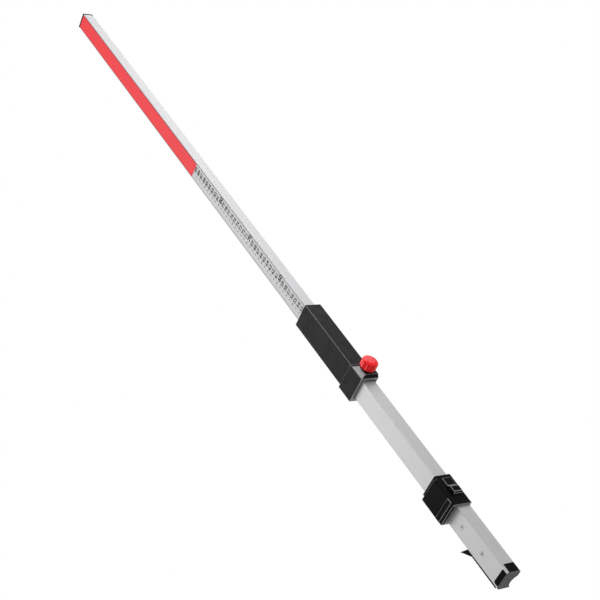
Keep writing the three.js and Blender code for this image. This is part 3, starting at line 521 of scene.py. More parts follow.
# %% Starting solids
QUARTER = math.pi / 2
TURN_ONTO = {"X": (0, QUARTER, 0), "Y": (QUARTER, 0, 0), "Z": (0, 0, 0)}


def box_piece(name, low, high):
    """A box between two corners."""
    deselect_all()
    low, high = Vector(low), Vector(high)
    bpy.ops.mesh.primitive_cube_add(size=1, location=(low + high) / 2, scale=high - low)
    bpy.context.object.name = name
    return settle(bpy.context.object)


def post_piece(name, low, high, corner, segments=6):
    """A box with round upright corners, as an extruded section has."""
    piece = box_piece(name, low, high)
    round_edges(piece, is_upright, corner, segments)
    return piece


def round_piece(name, radius, axis, start, end, centre, sides=48):
    """A cylinder along an axis, from start to end, about a centre line."""
    deselect_all()
    middle = Vector(centre)
    middle["XYZ".index(axis)] = (start + end) / 2
    bpy.ops.mesh.primitive_cylinder_add(
        vertices=sides, radius=radius, depth=abs(end - start), location=middle, rotation=TURN_ONTO[axis]
    )
    bpy.context.object.name = name
    return settle(bpy.context.object)


def combine(piece, tool, operation):
    """Joins or cuts one closed solid with another, which is used up."""
    work_on(piece)
    change = piece.modifiers.new("shape", "BOOLEAN")
    change.operation = operation
    change.object = tool
    change.solver = "EXACT"
    bpy.ops.object.modifier_apply(modifier=change.name)
    bpy.data.objects.remove(tool)


def soften(piece, width, segments=3, angle=40, edge_highlight=False):
    """Rounds every edge that is sharper than an angle. Asked for, the rounded edges get the piece's second finish,
    a light grey painted highlight.
    """
    work_on(piece)
    bevel = piece.modifiers.new("edges", "BEVEL")
    bevel.width = width
    bevel.segments = segments
    bevel.limit_method = "ANGLE"
    bevel.angle_limit = math.radians(angle)
    if edge_highlight:
        two_finishes(piece)
        bevel.material = 1
    bpy.ops.object.modifier_apply(modifier=bevel.name)
    smooth(piece)


# The second finish is light grey plastic: painted light on a black piece.
def two_finishes(piece):
    while len(piece.data.materials) < 2:
        piece.data.materials.append(painted_light_finish)


def rub(piece, test):
    """Gives the chosen faces the piece's second finish, a light grey that is painted light."""
    two_finishes(piece)
    choose(piece, "FACE", test)
    piece.active_material_index = 1
    bpy.ops.object.material_slot_assign()
    deselect_all()


def smooth(piece, angle=35):
    """Shades round parts smooth. Weighted normals keep the large flats flat up to their edges."""
    work_on(piece)
    bpy.ops.object.shade_smooth_by_angle(angle=math.radians(angle))
    weigh = piece.modifiers.new("flat faces", "WEIGHTED_NORMAL")
    weigh.keep_sharp = True
    bpy.ops.object.modifier_apply(modifier=weigh.name)
    deselect_all()


test_box = box_piece("test", (0, 0, 0), (MM, MM, MM))
print("a box has", len(test_box.data.polygons), "faces")
bpy.data.objects.remove(test_box)

# %% Fitting a finished piece
slot_of = {part["node"]: part["material_slot"] for part in frame["record"]["subparts"]}
body_of = {node: body for body, nodes in frame["record"]["behaviour"]["bodies"].items() for node in nodes}


def fit(piece, node):
    """Gives a piece its node's finish and place: it stands for the node and moves with the node's body."""
    piece.name = node + "_detailed"
    piece.data.name = piece.name
    if not piece.data.materials:
        piece.data.materials.append(None)
    piece.data.materials[0] = slot_finish[slot_of[node]]
    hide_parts(node)
    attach(piece, body_of[node])
    low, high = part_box(node)
    corners = [vertex.co for vertex in piece.data.vertices]
    size = [max(c[i] for c in corners) - min(c[i] for c in corners) for i in range(3)]
    print(
        piece.name, "on", body_of[node], "-", len(piece.data.polygons), "faces,",
        [round(v / MM, 1) for v in size], "mm for", [round(v / MM, 1) for v in high - low],
    )


# %% [markdown]
# ## The two tubes
# Both tubes are rectangular extrusions with small round corners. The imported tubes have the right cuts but
# only a few flats on each corner, which breaks the long highlight. So each tube is made again: a post with
# smooth corners, its bore cut out, then the same holes. The outer tube's foot is cut away round two front
# corner strips, which stay silver between the black tabs.

# %% Outer tube
outer_low, outer_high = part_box("outer_tube")
OUTER_WALL = 1.2 * MM
OUTER_CORNER = 1.2 * MM
tube = post_piece("tube", outer_low, outer_high, OUTER_CORNER)
tube_wall = Vector((OUTER_WALL, OUTER_WALL, -MM))
combine(
    tube, post_piece("bore", outer_low + tube_wall, outer_high - tube_wall, OUTER_WALL / 2, 3), "DIFFERENCE"
)

FRONT_STRIP = 2.7 * MM
SIDE_NOTCH_TOP = 15.5 * MM
low = Vector((outer_low.x - MM, outer_low.y + FRONT_STRIP, 0))
combine(tube, box_piece("notch", low, (outer_high.x + MM, outer_high.y + MM, SIDE_NOTCH_TOP)), "DIFFERENCE")

TAB_HALF = 12.5 * MM
TAB_TOP = 10.5 * MM
GAP = 0.3 * MM
low = (-TAB_HALF - GAP, outer_low.y - MM, outer_low.z - MM)
high = (TAB_HALF + GAP, outer_low.y + 2 * MM, TAB_TOP + GAP)
notch = box_piece("tab_notch", low, high)
round_edges(notch, lambda a, b: a.z > TAB_TOP and b.z > TAB_TOP and abs(a.x - b.x) < NEAR, 2.6 * MM, 6)
combine(tube, notch, "DIFFERENCE")

HEAD_R = 3 * MM
for name in ("foot_screw_lower", "foot_screw_upper"):
    low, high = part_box(name)
    seat = round_piece("seat", HEAD_R + 0.35 * MM, "Y", low.y - MM, high.y, (low + high) / 2)
    combine(tube, seat, "DIFFERENCE")
clamp_low, clamp_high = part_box("clamp_shoe")
room = Vector((MM, 0.3 * MM, 0.3 * MM))
combine(tube, box_piece("shoe_window", clamp_low - room, clamp_high + room), "DIFFERENCE")
soften(tube, 0.15 * MM, 2)
fit(tube, "outer_tube")

# %% Inner tube
inner_low, inner_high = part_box("inner_tube")
INNER_WALL = 1.2 * MM
INNER_CORNER = 1.0 * MM
tube = post_piece("tube", inner_low, inner_high, INNER_CORNER)
tube_wall = Vector((INNER_WALL, INNER_WALL, -MM))
combine(
    tube, post_piece("bore", inner_low + tube_wall, inner_high - tube_wall, INNER_WALL / 2, 3), "DIFFERENCE"
)
tape_low, tape_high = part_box("red_tape")
EDGE = 0.3 * MM
low = (tape_low.x - EDGE, inner_low.y - MM, inner_low.z - MM)
high = (tape_high.x + EDGE, tape_high.y, inner_high.z + MM)
combine(tube, box_piece("tape_groove", low, high), "DIFFERENCE")
pin_low, pin_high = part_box("stop_pin")
travel = next(joint for joint in frame["joints"] if joint["name"] == "telescope")["range_m"]
slot_half = (pin_high.x - pin_low.x) / 2 + 0.2 * MM
pin_z = (pin_low.z + pin_high.z) / 2
low = (-slot_half, inner_high.y - 2 * MM, pin_z + travel[1] - slot_half)
high = (slot_half, inner_high.y + MM, pin_z - travel[0] + slot_half)
slot = box_piece("stop_slot", low, high)
round_edges(slot, lambda a, b: abs(a.x - b.x) < NEAR and abs(a.z - b.z) < NEAR, slot_half * 0.98, 8)
combine(tube, slot, "DIFFERENCE")
soften(tube, 0.12 * MM, 2)
fit(tube, "inner_tube")

# %% [markdown]
# ## The clamping sleeve
# The sleeve is one moulding: a long box over the joint of the two tubes, a thicker collar at its lower end,
# and a slanted boss on the collar that holds the clamp screw. One box is drawn down into the collar, so the
# step between them is real, and the boss is pulled from the collar's side. A small radius on every edge
# catches the light, as a mould's edges do.

# %% Sleeve, collar and boss
sleeve_low, sleeve_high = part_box("sleeve")
COLLAR_H = 31 * MM
SHAFT_HALF = Vector((19.5 * MM, 14.5 * MM, 0))
COLLAR_OUT = {"left": 3.2 * MM, "right": 1.5 * MM, "front": 2.1 * MM, "back": 0.8 * MM}
BOSS_H = 26 * MM
collar_top = sleeve_low.z + COLLAR_H
sleeve = box_piece(
    "sleeve", -SHAFT_HALF + Vector((0, 0, collar_top)), SHAFT_HALF + Vector((0, 0, sleeve_high.z))
)
choose(sleeve, "FACE", lambda centre, normal: normal.z < -0.9)
bpy.ops.mesh.extrude_region_move(TRANSFORM_OT_translate={"value": (0, 0, 0)})
wider = 1 + (COLLAR_OUT["left"] + COLLAR_OUT["right"]) / (2 * SHAFT_HALF.x)
deeper = 1 + (COLLAR_OUT["front"] + COLLAR_OUT["back"]) / (2 * SHAFT_HALF.y)
bpy.ops.transform.resize(value=(wider, deeper, 1), center_override=(0, 0, collar_top))
sideways = (COLLAR_OUT["right"] - COLLAR_OUT["left"]) / 2
backwards = (COLLAR_OUT["back"] - COLLAR_OUT["front"]) / 2
bpy.ops.transform.translate(value=(sideways, backwards, 0))
bpy.ops.mesh.extrude_region_move(TRANSFORM_OT_translate={"value": (0, 0, -COLLAR_H)})
deselect_all()

collar_right = SHAFT_HALF.x + COLLAR_OUT["right"]
boss_top = sleeve_low.z + BOSS_H
score(sleeve, (0, 0, boss_top), (0, 0, 1))
pull(
    sleeve, lambda centre, normal: normal.x > 0.9 and centre.z < boss_top and centre.x > collar_right - NEAR,
    (sleeve_high.x - collar_right, 0, 0),
)
BOSS_SLANT = 8 * MM
BOSS_SLOPE = 4 * MM
at_face = sleeve_high.x - NEAR
slide(sleeve, "VERT", lambda co: co.x > at_face and co.y < 0, (0, BOSS_SLANT, 0))
slide(sleeve, "VERT", lambda co: co.x > at_face and co.z > boss_top - NEAR, (0, 0, -BOSS_SLOPE))
slide(sleeve, "VERT", lambda co: co.x > at_face and co.z < sleeve_low.z + NEAR, (0, 0, BOSS_SLOPE))
# The boss's slanted front facet and the rounded edges get the light grey second finish: painted highlight.
rub(sleeve, lambda centre, normal: normal.y < -0.2 and normal.x > 0.2)
soften(sleeve, 0.6 * MM, 3, angle=20, edge_highlight=True)
# The collar's front underside gets the same light grey: painted light from below.
rub(sleeve, lambda centre, normal: normal.z < -0.5 and centre.z < sleeve_low.z + MM and centre.y < 0)
print("sleeve and collar", len(sleeve.data.polygons), "faces")

# %% Sleeve bores and seats
SOCKET_GAP = 0.3 * MM
LIP = 4 * MM
low = (outer_low.x - SOCKET_GAP, outer_low.y - SOCKET_GAP, sleeve_low.z - MM)
high = (outer_high.x + SOCKET_GAP, outer_high.y + SOCKET_GAP, sleeve_high.z - LIP)
combine(sleeve, post_piece("socket", low, high, OUTER_CORNER), "DIFFERENCE")
MOUTH_GAP = 0.7 * MM
low = (inner_low.x - MOUTH_GAP, inner_low.y - MOUTH_GAP, sleeve_high.z - LIP - MM)
high = (inner_high.x + MOUTH_GAP, inner_high.y + MOUTH_GAP, sleeve_high.z + MM)
combine(sleeve, post_piece("mouth", low, high, INNER_CORNER), "DIFFERENCE")
RELIEF = 1.6 * MM
low = (outer_low.x - RELIEF, outer_low.y - RELIEF, sleeve_low.z - MM)
high = (outer_high.x + RELIEF, outer_high.y + RELIEF, sleeve_low.z + RELIEF)
combine(sleeve, post_piece("rim_relief", low, high, 1.5 * MM), "DIFFERENCE")
for name in ("sleeve_screw_lower", "sleeve_screw_upper"):
    low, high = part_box(name)
    seat = round_piece("seat", HEAD_R + 0.15 * MM, "Y", low.y, high.y + MM, (low + high) / 2)
    combine(sleeve, seat, "DIFFERENCE")
PIN_GAP = 0.2 * MM
seat = round_piece(
    "pin_hole", (pin_high.x - pin_low.x) / 2 + PIN_GAP,
    "Y", 0, pin_high.y + 2 * MM, (pin_low + pin_high) / 2
)
combine(sleeve, seat, "DIFFERENCE")
washer_low, washer_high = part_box("knob_washer")
washer_r = (washer_high.z - washer_low.z) / 2
clamp_centre = (washer_low + washer_high) / 2
washer_seat = round_piece(
    "washer_seat", washer_r + PIN_GAP, "X", washer_low.x, washer_high.x + MM, clamp_centre
)
combine(sleeve, washer_seat, "DIFFERENCE")
insert_low, insert_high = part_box("threaded_insert")
insert_r = (insert_high.z - insert_low.z) / 2
combine(
    sleeve, round_piece("insert_seat", insert_r + PIN_GAP, "X", insert_low.x, washer_high.x, clamp_centre),
    "DIFFERENCE"
)
combine(sleeve, round_piece("stud_hole", 3.2 * MM, "X", 0.01, washer_high.x, clamp_centre), "DIFFERENCE")
combine(sleeve, box_piece("shoe_room", clamp_low - room, clamp_high + 2 * room), "DIFFERENCE")
smooth(sleeve)
fit(sleeve, "sleeve")

# %% [markdown]
# ## The clamp knob
# The knob is a lobed star knob, pressed on the clamp stud. It is drawn as a drum, and eight shallow flutes
# are cut round it, so the fingers find a grip. The flute cutter is modelled once and copied round the axis.
# The rim is rounded strongly and the face rises a little to a flat cap.

# %% Lobed knob
knob_low, knob_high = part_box("knob")
knob_r = (knob_high.z - knob_low.z) / 2
KNOB_T = 13 * MM
DOME = 0.9 * MM
rim = knob_high.x - DOME
knob = round_piece("knob", knob_r, "X", knob_high.x - KNOB_T, rim, clamp_centre, 96)
choose(knob, "FACE", lambda centre, normal: normal.x > 0.9)
bpy.ops.mesh.inset(thickness=3.4 * MM)
bpy.ops.transform.translate(value=(0.6 * DOME, 0, 0))
bpy.ops.mesh.inset(thickness=3.2 * MM)
bpy.ops.transform.translate(value=(0.4 * DOME, 0, 0))
deselect_all()
soften(knob, 1.8 * MM, 6, angle=50)
FLUTES = 8
FLUTE_R = 7 * MM
FLUTE_DEPTH = 1.1 * MM
first = round_piece(
    "flute", FLUTE_R, "X", knob_low.x - MM, knob_high.x + MM,
    clamp_centre + Vector((0, 0, knob_r + FLUTE_R - FLUTE_DEPTH)), 64,
)
for step in range(FLUTES):
    cutter = first.copy()
    cutter.data = first.data.copy()
    bpy.context.scene.collection.objects.link(cutter)
    spin = Matrix.Rotation(2 * math.pi * (step + 0.5) / FLUTES, 4, "X")
    cutter.data.transform(Matrix.Translation(clamp_centre) @ spin @ Matrix.Translation(-clamp_centre))
    combine(knob, cutter, "DIFFERENCE")
bpy.data.objects.remove(first)
combine(knob, round_piece("hub", 7 * MM, "X", knob_low.x, rim - 6 * MM, clamp_centre), "UNION")
combine(
    knob, round_piece("stud_bore", 3.2 * MM, "X", knob_low.x - MM, rim - 4 * MM, clamp_centre), "DIFFERENCE"
)
smooth(knob, 40)
fit(knob, "knob")

# %% [markdown]
# ## The receiver carriage
# The carriage is a moulding that slides on the lower tube. Its front is a thick seat for the receiver,
# hollow from below, with one raised rib. Behind the seat a narrower neck stands up along the tube. The seat
# is drawn as a box, with two lines scored round it, and the rib is pulled from its front between them. The
# neck is a second box. Both get their edges rounded before they are joined, because a rounded edge can be
# no wider than the small steps that a join leaves. The rounded edges get a shinier second finish, whose
# light grey is a painted highlight.

# %% Carriage body
cart_low, cart_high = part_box("carriage_body")
PROUD = 0.8 * MM
RIB_LOW = cart_low.z + 5.2 * MM
RIB_HIGH = RIB_LOW + 8 * MM
NECK_Z = cart_high.z - 6 * MM
SEAT_T = 4.5 * MM
NECK_LEFT = 3 * MM
seat_front = cart_low.y + PROUD
neck_front = seat_front + SEAT_T
cart = post_piece(
    "cart", (cart_low.x, seat_front, cart_low.z), (cart_high.x, cart_high.y, NECK_Z), 1.2 * MM, 5
)
for z in (RIB_LOW, RIB_HIGH):
    score(cart, (0, 0, z), (0, 0, 1))
pull(cart, lambda centre, normal: normal.y < -0.9 and RIB_LOW < centre.z < RIB_HIGH, (0, -PROUD, 0))
neck = post_piece("neck", (cart_low.x + NECK_LEFT, neck_front, cart_low.z), cart_high, 1.2 * MM, 5)
# The rounded edges get the light grey second finish: painted highlight.
soften(cart, 0.35 * MM, 3, angle=30, edge_highlight=True)
soften(neck, 0.5 * MM, 3, angle=30, edge_highlight=True)
combine(cart, neck, "UNION")
smooth(cart)
print("carriage", [round((cart_high[i] - cart_low[i]) / MM, 1) for i in range(3)], "mm")

# %% Hollow of the seat, and the ridges under the neck
POCKET_INSET = 2 * MM
low = (cart_low.x + POCKET_INSET, seat_front + MM, cart_low.z - MM)
high = (cart_high.x - POCKET_INSET, neck_front, cart_low.z + 4 * MM)
combine(cart, box_piece("seat_hollow", low, high), "DIFFERENCE")
# The seat's underside gets the light grey second finish: painted light from below.
rub(
    cart,
    lambda centre, normal: (
        normal.z < -0.5 and centre.z < cart_low.z + MM and centre.y > seat_front + 0.5 * MM
    ),
)
RIDGES = 15
ridge_gap = (cart_high.x - cart_low.x - NECK_LEFT) / (RIDGES + 1)
notches = []
for step in range(RIDGES):
    x = cart_low.x + NECK_LEFT + (step + 1) * ridge_gap
    low = (x - 0.35 * MM, neck_front - MM, cart_low.z - MM)
    notches.append(box_piece("notch", low, (x + 0.35 * MM, outer_low.y + MM, cart_low.z + 0.5 * MM)))
work_on(notches[0])
for notch in notches:
    notch.select_set(True)
bpy.ops.object.join()
combine(cart, notches[0], "DIFFERENCE")

# %% Pockets and bore of the carriage
lever_low, lever_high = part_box("brake_lever")
LEVER_ROOM = 0.3 * MM
PRESS_DEPTH = 2.4 * MM
FINGER_ROOM = 4 * MM
low = (cart_high.x - PRESS_DEPTH, lever_low.y - LEVER_ROOM, lever_low.z - 2 * LEVER_ROOM)
high = (cart_high.x + MM, lever_high.y + LEVER_ROOM, lever_high.z + 2 * LEVER_ROOM)
combine(cart, box_piece("lever_pocket", low, high), "DIFFERENCE")
low = (low[0], low[1] - FINGER_ROOM, low[2])
high = (high[0], lever_high.y, low[2] + 15.5 * MM)
pocket = box_piece("finger_pocket", low, high)
round_edges(
    pocket, lambda a, b: abs(a.y - b.y) < NEAR and abs(a.z - b.z) < NEAR and max(a.y, b.y) < 0, 1.5 * MM, 4
)
combine(cart, pocket, "DIFFERENCE")
liner_low, liner_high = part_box("liner_front")
SLIDE_GAP = 0.3 * MM
low = (outer_low.x - SLIDE_GAP, liner_low.y - 0.1 * MM, cart_low.z - MM)
high = (outer_high.x + SLIDE_GAP, -liner_low.y + 0.1 * MM, cart_high.z + MM)
combine(cart, post_piece("cart_bore", low, high, OUTER_CORNER), "DIFFERENCE")
smooth(cart)
fit(cart, "carriage_body")

# %% [markdown]
# ## The brake lever
# The lever is a flat rocker in a pocket of the carriage. A thumb ramp swells from its lower end. Pressing
# it lifts a rubber pad off the tube. It is a plate with a few lines scored across it, whose lower part is
# pulled out and then slid into a wedge.

# %% Brake lever
THUMB_OUT = 3.2 * MM
PLATE_T = 1.6 * MM
face_x = lever_high.x - THUMB_OUT
lever = box_piece(
    "lever", (face_x - PLATE_T, lever_low.y, lever_low.z), (face_x, lever_high.y, lever_high.z)
)
THUMB_H = 15.5 * MM
CREST = (0.15, 0.78)
thumb_top = lever_low.z + THUMB_H
for z in [lever_low.z + share * THUMB_H for share in CREST] + [thumb_top]:
    score(lever, (0, 0, z), (0, 0, 1))
pull(lever, lambda centre, normal: normal.x > 0.9 and centre.z < thumb_top, (THUMB_OUT, 0, 0))
out_x = lever_high.x - NEAR
slide(lever, "VERT", lambda co: co.x > out_x and co.z > thumb_top - NEAR, (-THUMB_OUT, 0, 0))
slide(lever, "VERT", lambda co: co.x > out_x and co.z < lever_low.z + NEAR, (-THUMB_OUT * 0.7, 0, 0))
choose(lever, "VERT", lambda co: True)
bpy.ops.mesh.remove_doubles(threshold=NEAR)
bpy.ops.mesh.normals_make_consistent(inside=False)
deselect_all()
# The rounded edges get the light grey second finish: painted highlight.
soften(lever, 0.7 * MM, 4, angle=40, edge_highlight=True)
pivot = Vector(next(joint for joint in frame["joints"] if joint["name"] == "brake_release")["pos_m"])
combine(lever, round_piece("barrel", 1.2 * MM, "Y", lever_low.y, lever_high.y, pivot), "UNION")
pad_low, pad_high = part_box("brake_pad")
combine(
    lever, box_piece("web", (pad_high.x, pad_low.y, pad_low.z), (face_x - MM, pad_high.y, pad_high.z)),
    "UNION"
)
combine(
    lever, round_piece("pin_bore", 0.7 * MM, "Y", lever_low.y - MM, lever_high.y + MM, pivot, 24),
    "DIFFERENCE"
)
smooth(lever)
fit(lever, "brake_lever")

# %% [markdown]
# ## The brake lever's spring
# The small coil behind the lever is squeezed when the lever goes in. Its imported shape is right, so it is
# copied and its loose triangles are joined.

# %% Lever spring
spring = bpy.data.objects.new("spring", frame["nodes"]["lever_spring"].data.copy())
bpy.context.scene.collection.objects.link(spring)
choose(spring, "VERT", lambda co: True)
bpy.ops.mesh.remove_doubles(threshold=NEAR / 4)
deselect_all()
smooth(spring, 60)
fit(spring, "lever_spring")
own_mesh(spring)

# %% [markdown]
# ## The foot
# The foot is a plastic plug, screwed into the tube. Only its skirt shows: a short tab in the front, and a
# taller skirt round the sides and back, with a shallow scallop scooped out of the back. A grey sole plate
# closes it below, and two small lugs hold the clip's pin.

# %% Foot block
foot_low, foot_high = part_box("foot_block")
SKIRT_TOP = SIDE_NOTCH_TOP - GAP
SKIRT_FRONT = outer_low.y + FRONT_STRIP + GAP
skirt = post_piece(
    "foot", (outer_low.x, SKIRT_FRONT, foot_low.z), (outer_high.x, outer_high.y, SKIRT_TOP), OUTER_CORNER
)
round_edges(
    skirt, lambda a, b: min(a.z, b.z) > SKIRT_TOP - NEAR and max(a.y, b.y) < SKIRT_FRONT + MM,
    2.4 * MM, 6,
)
tab = box_piece("front_tab", (-TAB_HALF, outer_low.y, foot_low.z), (TAB_HALF, 0, TAB_TOP))
round_edges(
    tab, lambda a, b: a.z > TAB_TOP - NEAR and b.z > TAB_TOP - NEAR and abs(a.x - b.x) < NEAR, 2.5 * MM, 6
)
soften(tab, 0.4 * MM, 3, angle=50)
shank_half = Vector((inner_high.x, inner_high.y, 0))
shank = post_piece(
    "shank", -shank_half + Vector((0, 0, foot_low.z)),
    shank_half + Vector((0, 0, foot_high.z)), OUTER_CORNER
)
soften(skirt, 0.4 * MM, 3, angle=50)
combine(skirt, shank, "UNION")
combine(skirt, tab, "UNION")
SCALLOP_DEPTH = 6 * MM
SCALLOP_HALF = 11 * MM
SCALLOP_TOP = 12 * MM
scallop_r = (SCALLOP_HALF**2 + SCALLOP_DEPTH**2) / (2 * SCALLOP_DEPTH)
scallop_centre = Vector((-4.5 * MM, outer_high.y - SCALLOP_DEPTH + scallop_r, 0))
combine(skirt, round_piece("scallop", scallop_r, "Z", -MM, SCALLOP_TOP, scallop_centre, 128), "DIFFERENCE")
clip_pivot = Vector(next(joint for joint in frame["joints"] if joint["name"] == "clip_open")["pos_m"])
BARREL_R = 1.25 * MM
for side in (-1, 1):
    ends = sorted((side * 2.5 * MM, side * 4.5 * MM))
    lug = box_piece(
        "lug", (foot_low.x, ends[0], foot_low.z), (-outer_high.x + MM, ends[1], clip_pivot.z + 2 * BARREL_R)
    )
    round_edges(
        lug, lambda a, b: max(a.x, b.x) < foot_low.x + NEAR and abs(a.z - b.z) < NEAR, 1.0 * MM, 5
    )
    combine(skirt, lug, "UNION")
smooth(skirt)
fit(skirt, "foot_block")

# %% Sole plate
plate_low, plate_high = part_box("foot_plate")
plate = post_piece("plate", plate_low, plate_high, OUTER_CORNER)
combine(
    plate, round_piece("scallop", scallop_r, "Z", -MM, plate_high.z + MM, scallop_centre, 128), "DIFFERENCE"
)
CHAMFER = 1.5 * MM
wedge = box_piece(
    "wedge", (
        plate_low.x - MM, plate_low.y - CHAMFER, -CHAMFER
    ), (plate_high.x + MM, plate_low.y + CHAMFER, CHAMFER)
)
slide(wedge, "VERT", lambda co: co.y > plate_low.y and co.z > 0, (0, -CHAMFER, 0))
slide(wedge, "VERT", lambda co: co.y > plate_low.y and co.z < 0, (0, CHAMFER, 0))
combine(plate, wedge, "DIFFERENCE")
plate.data.materials.append(grey_foot)
plate.data.materials.append(sole_edge_highlight)
# The chamfer and rounded edges get the light grey second finish: painted highlight.
soften(plate, 0.35 * MM, 2, angle=40, edge_highlight=True)
fit(plate, "foot_plate")

# %% [markdown]
# ## The belt clip
# A springy blade lies along the tube's left side, hinged at the foot. Its upper end leaves the tube in a
# solid ramp, so a thumb can swing it out. The blade is a thin box, its top is pulled up, and the outer
# corner is slid out to make the ramp.

# %% Belt clip
clip_low, clip_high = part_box("clip_lever")
BLADE_T = 1.6 * MM
RAMP_START = 57 * MM
RAMP_TOP = 68.5 * MM
inside = clip_pivot.x + BLADE_T / 2
outside = clip_pivot.x - BLADE_T / 2
clip = box_piece("clip", (outside, clip_low.y, clip_pivot.z), (inside, clip_high.y, RAMP_START))
pull(clip, lambda centre, normal: normal.z > 0.9, (0, 0, RAMP_TOP - RAMP_START))
slide(
    clip, "VERT", lambda co: co.z > RAMP_TOP - NEAR and co.x < outside + NEAR,
    (clip_low.x - outside, 0, clip_high.z - 0.4 * MM - RAMP_TOP),
)
choose(clip, "EDGE", lambda a, b: a.x < clip_low.x + NEAR and b.x < clip_low.x + NEAR)
bpy.ops.mesh.bevel(offset=0.5 * MM, segments=4, affect="EDGES")
deselect_all()
soften(clip, 0.35 * MM, 2, angle=25)
combine(clip, round_piece("barrel", BARREL_R, "Y", clip_low.y, clip_high.y, clip_pivot, 40), "UNION")
NOTCH_HALF = 4.8 * MM
reach = Vector((2 * BARREL_R + GAP, 0, 2 * BARREL_R + GAP))
half = Vector((0, NOTCH_HALF, 0))
combine(clip, box_piece("lug_notch", clip_pivot - reach - half, clip_pivot + reach + half), "DIFFERENCE")
combine(
    clip, round_piece("pin_bore", 0.8 * MM, "Y", clip_low.y - MM, clip_high.y + MM, clip_pivot, 24),
    "DIFFERENCE"
)
smooth(clip)
fit(clip, "clip_lever")

# %% [markdown]
# ## Top cap
# A thin plastic cap is pressed into the top of the inner tube. Its plug is hidden, and only the rounded
# lid shows. The lid's short lip covers the tube's sawn edge.

# %% Top cap
cap_low, cap_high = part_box("top_cap")
CAP_LIP = Vector((0.35 * MM, 0.35 * MM, 0))
LIP_DOWN = 1.2 * MM
lip_low = Vector((cap_low.x, cap_low.y, inner_high.z - LIP_DOWN)) - CAP_LIP
cap = post_piece("cap", lip_low, cap_high + CAP_LIP, INNER_CORNER)
fitted = Vector((0.02 * MM, 0.02 * MM, 0))
tube_end = post_piece("tube_end", inner_low - fitted, inner_high + fitted, INNER_CORNER)
soften(cap, 0.3 * MM, 3, angle=50)
combine(cap, tube_end, "DIFFERENCE")
PLUG_GAP = 0.3 * MM
low = Vector((inner_low.x + INNER_WALL + PLUG_GAP, inner_low.y + INNER_WALL + PLUG_GAP, cap_low.z))
combine(cap, post_piece("plug", low, (-low.x, -low.y, inner_high.z + 0.5 * MM), INNER_CORNER / 2), "UNION")
smooth(cap)
fit(cap, "top_cap")

# %% [markdown]
# ## Screws
# Four countersunk screws, with cross recesses, hold the foot and the sleeve. One is modelled at the lower
# foot hole. The others are copies, each moved to its own hole, and the sleeve's two are turned to face the
# back.

# %% Cross-recessed screws
screw_low, screw_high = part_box("foot_screw_lower")
screw_centre = (screw_low + screw_high) / 2
first_screw = round_piece("screw", HEAD_R, "Y", screw_low.y, screw_low.y + 1.4 * MM, screw_centre)
choose(first_screw, "FACE", lambda centre, normal: normal.y > 0.9)
bpy.ops.transform.resize(
    value=(0.5, 1, 0.5), center_override=(screw_centre.x, screw_low.y + 1.4 * MM, screw_centre.z)
)
bpy.ops.mesh.extrude_region_move(
    TRANSFORM_OT_translate={"value": (0, screw_high.y - screw_low.y - 1.4 * MM, 0)}
)
deselect_all()
soften(first_screw, 0.2 * MM, 2, angle=30)
for across, along in ((1.9, 0.6), (0.6, 1.9)):
    arm = Vector((across * MM, 0, along * MM))
    depth = Vector((0, 0.9 * MM, 0))
    face = Vector((screw_centre.x, screw_low.y, screw_centre.z))
    combine(first_screw, box_piece("recess", face - arm - depth, face + arm + depth), "DIFFERENCE")
smooth(first_screw)
first_screw.data.materials.append(zinc_steel)
first_screw.data.materials.append(recess_shade)
# The faces inside the cross recess get the near-black finish: painted shade.
choose(
    first_screw, "FACE",
    lambda centre, normal: screw_low.y + 0.2 * MM < centre.y < screw_low.y + 1.3 * MM
    and math.hypot(centre.x - screw_centre.x, centre.z - screw_centre.z) < 2.0 * MM,
)
first_screw.active_material_index = 1
bpy.ops.object.material_slot_assign()
deselect_all()
for name in ("foot_screw_upper", "sleeve_screw_lower", "sleeve_screw_upper"):
    low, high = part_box(name)
    copy = first_screw.copy()
    copy.data = first_screw.data.copy()
    bpy.context.scene.collection.objects.link(copy)
    move = Matrix.Translation((0, low.y, (low.z + high.z) / 2))
    if low.y > 0:
        move = Matrix.Translation((0, high.y, (low.z + high.z) / 2)) @ Matrix.Rotation(math.pi, 4, "Z")
    copy.data.transform(move @ Matrix.Translation((0, -screw_low.y, -screw_centre.z)))
    excess = (screw_high.y - screw_low.y) - (high.y - low.y)
    if low.y > 0:
        slide(copy, "VERT", lambda co: co.y < high.y - 2 * MM, (0, excess, 0))
    fit(copy, name)
fit(first_screw, "foot_screw_lower")

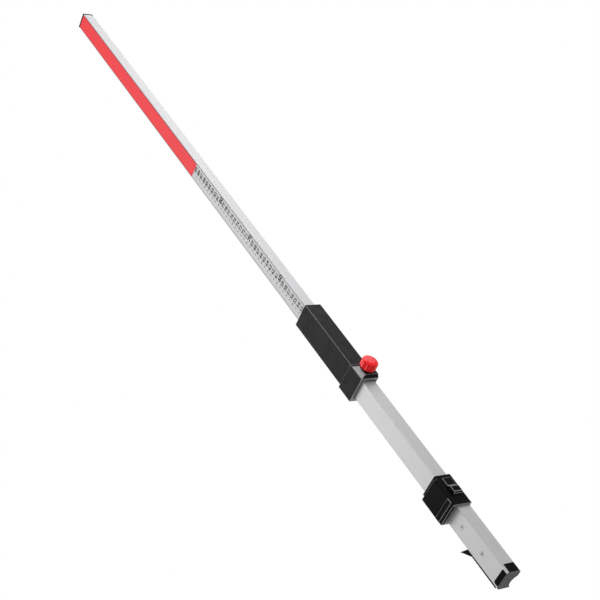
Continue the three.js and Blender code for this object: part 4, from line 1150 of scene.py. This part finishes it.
# %% [markdown]
# ## The printed scale
# The film carries a row of short marks, one a centimetre, and a number beside each one. Every tenth number
# is larger and bolder, so it can be read from afar. The numbers count centimetres from the foot. They are
# generic figures, made with Blender's own font, turned into meshes, and laid 0.03 mm proud of the film.

# %% Marks and numbers
film_low, film_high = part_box("scale_tape")
INK_T = 0.03 * MM
MARK_X = -3.4 * MM
NUMBER_X = 4.6 * MM
TENTH_X = 7.2 * MM
NUMBER_DROP = 2 * MM
first_cm = math.ceil(film_low.z / (10 * MM)) + 1
last_cm = math.floor(film_high.z / (10 * MM))


def printed_number(text, x, z, size, weight):
    """A flat number on the film, upright and readable from the front."""
    deselect_all()
    bpy.ops.object.text_add()
    label = bpy.context.object
    label.data.body = text
    label.data.size = size
    label.data.align_x = "CENTER"
    label.data.align_y = "CENTER"
    label.data.offset = weight
    label.data.extrude = INK_T / 2
    label.data.resolution_u = 3
    work_on(label)
    bpy.ops.object.convert(target="MESH")
    stand = Matrix.Translation((x, film_low.y - INK_T / 2, z)) @ Matrix.Rotation(QUARTER, 4, "X")
    label.data.transform(stand)
    return label


marks = []
for cm in range(first_cm, last_cm + 1):
    z = cm * 10 * MM
    tenth = cm % 10 == 0
    x = TENTH_X if tenth else NUMBER_X
    size = (11.4 if tenth else 9.4) * MM
    weight = (0.45 if tenth else 0.3) * MM
    marks.append(printed_number(str(cm), x, z - NUMBER_DROP, size, weight))
    half_w = (1.9 if cm % 5 == 0 else 1.2) * MM
    dash = box_piece(
        "mark", (MARK_X - half_w, film_low.y - INK_T, z - 0.8 * MM),
        (MARK_X + half_w, film_low.y, z + 0.8 * MM)
    )
    round_edges(dash, lambda a, b: abs(a.x - b.x) < NEAR and abs(a.z - b.z) < NEAR, 0.3 * MM, 2)
    marks.append(dash)
deselect_all()
for mark in marks:
    mark.select_set(True)
bpy.context.view_layer.objects.active = marks[0]
bpy.ops.object.join()
scale_print = bpy.context.object
scale_print.name = "scale_print"
scale_print.data.name = "scale_print"
scale_print.data.materials.clear()
scale_print.data.materials.append(ink)
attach(scale_print, "upper_section")
print("printed", first_cm, "to", last_cm, "with", len(scale_print.data.polygons), "faces")
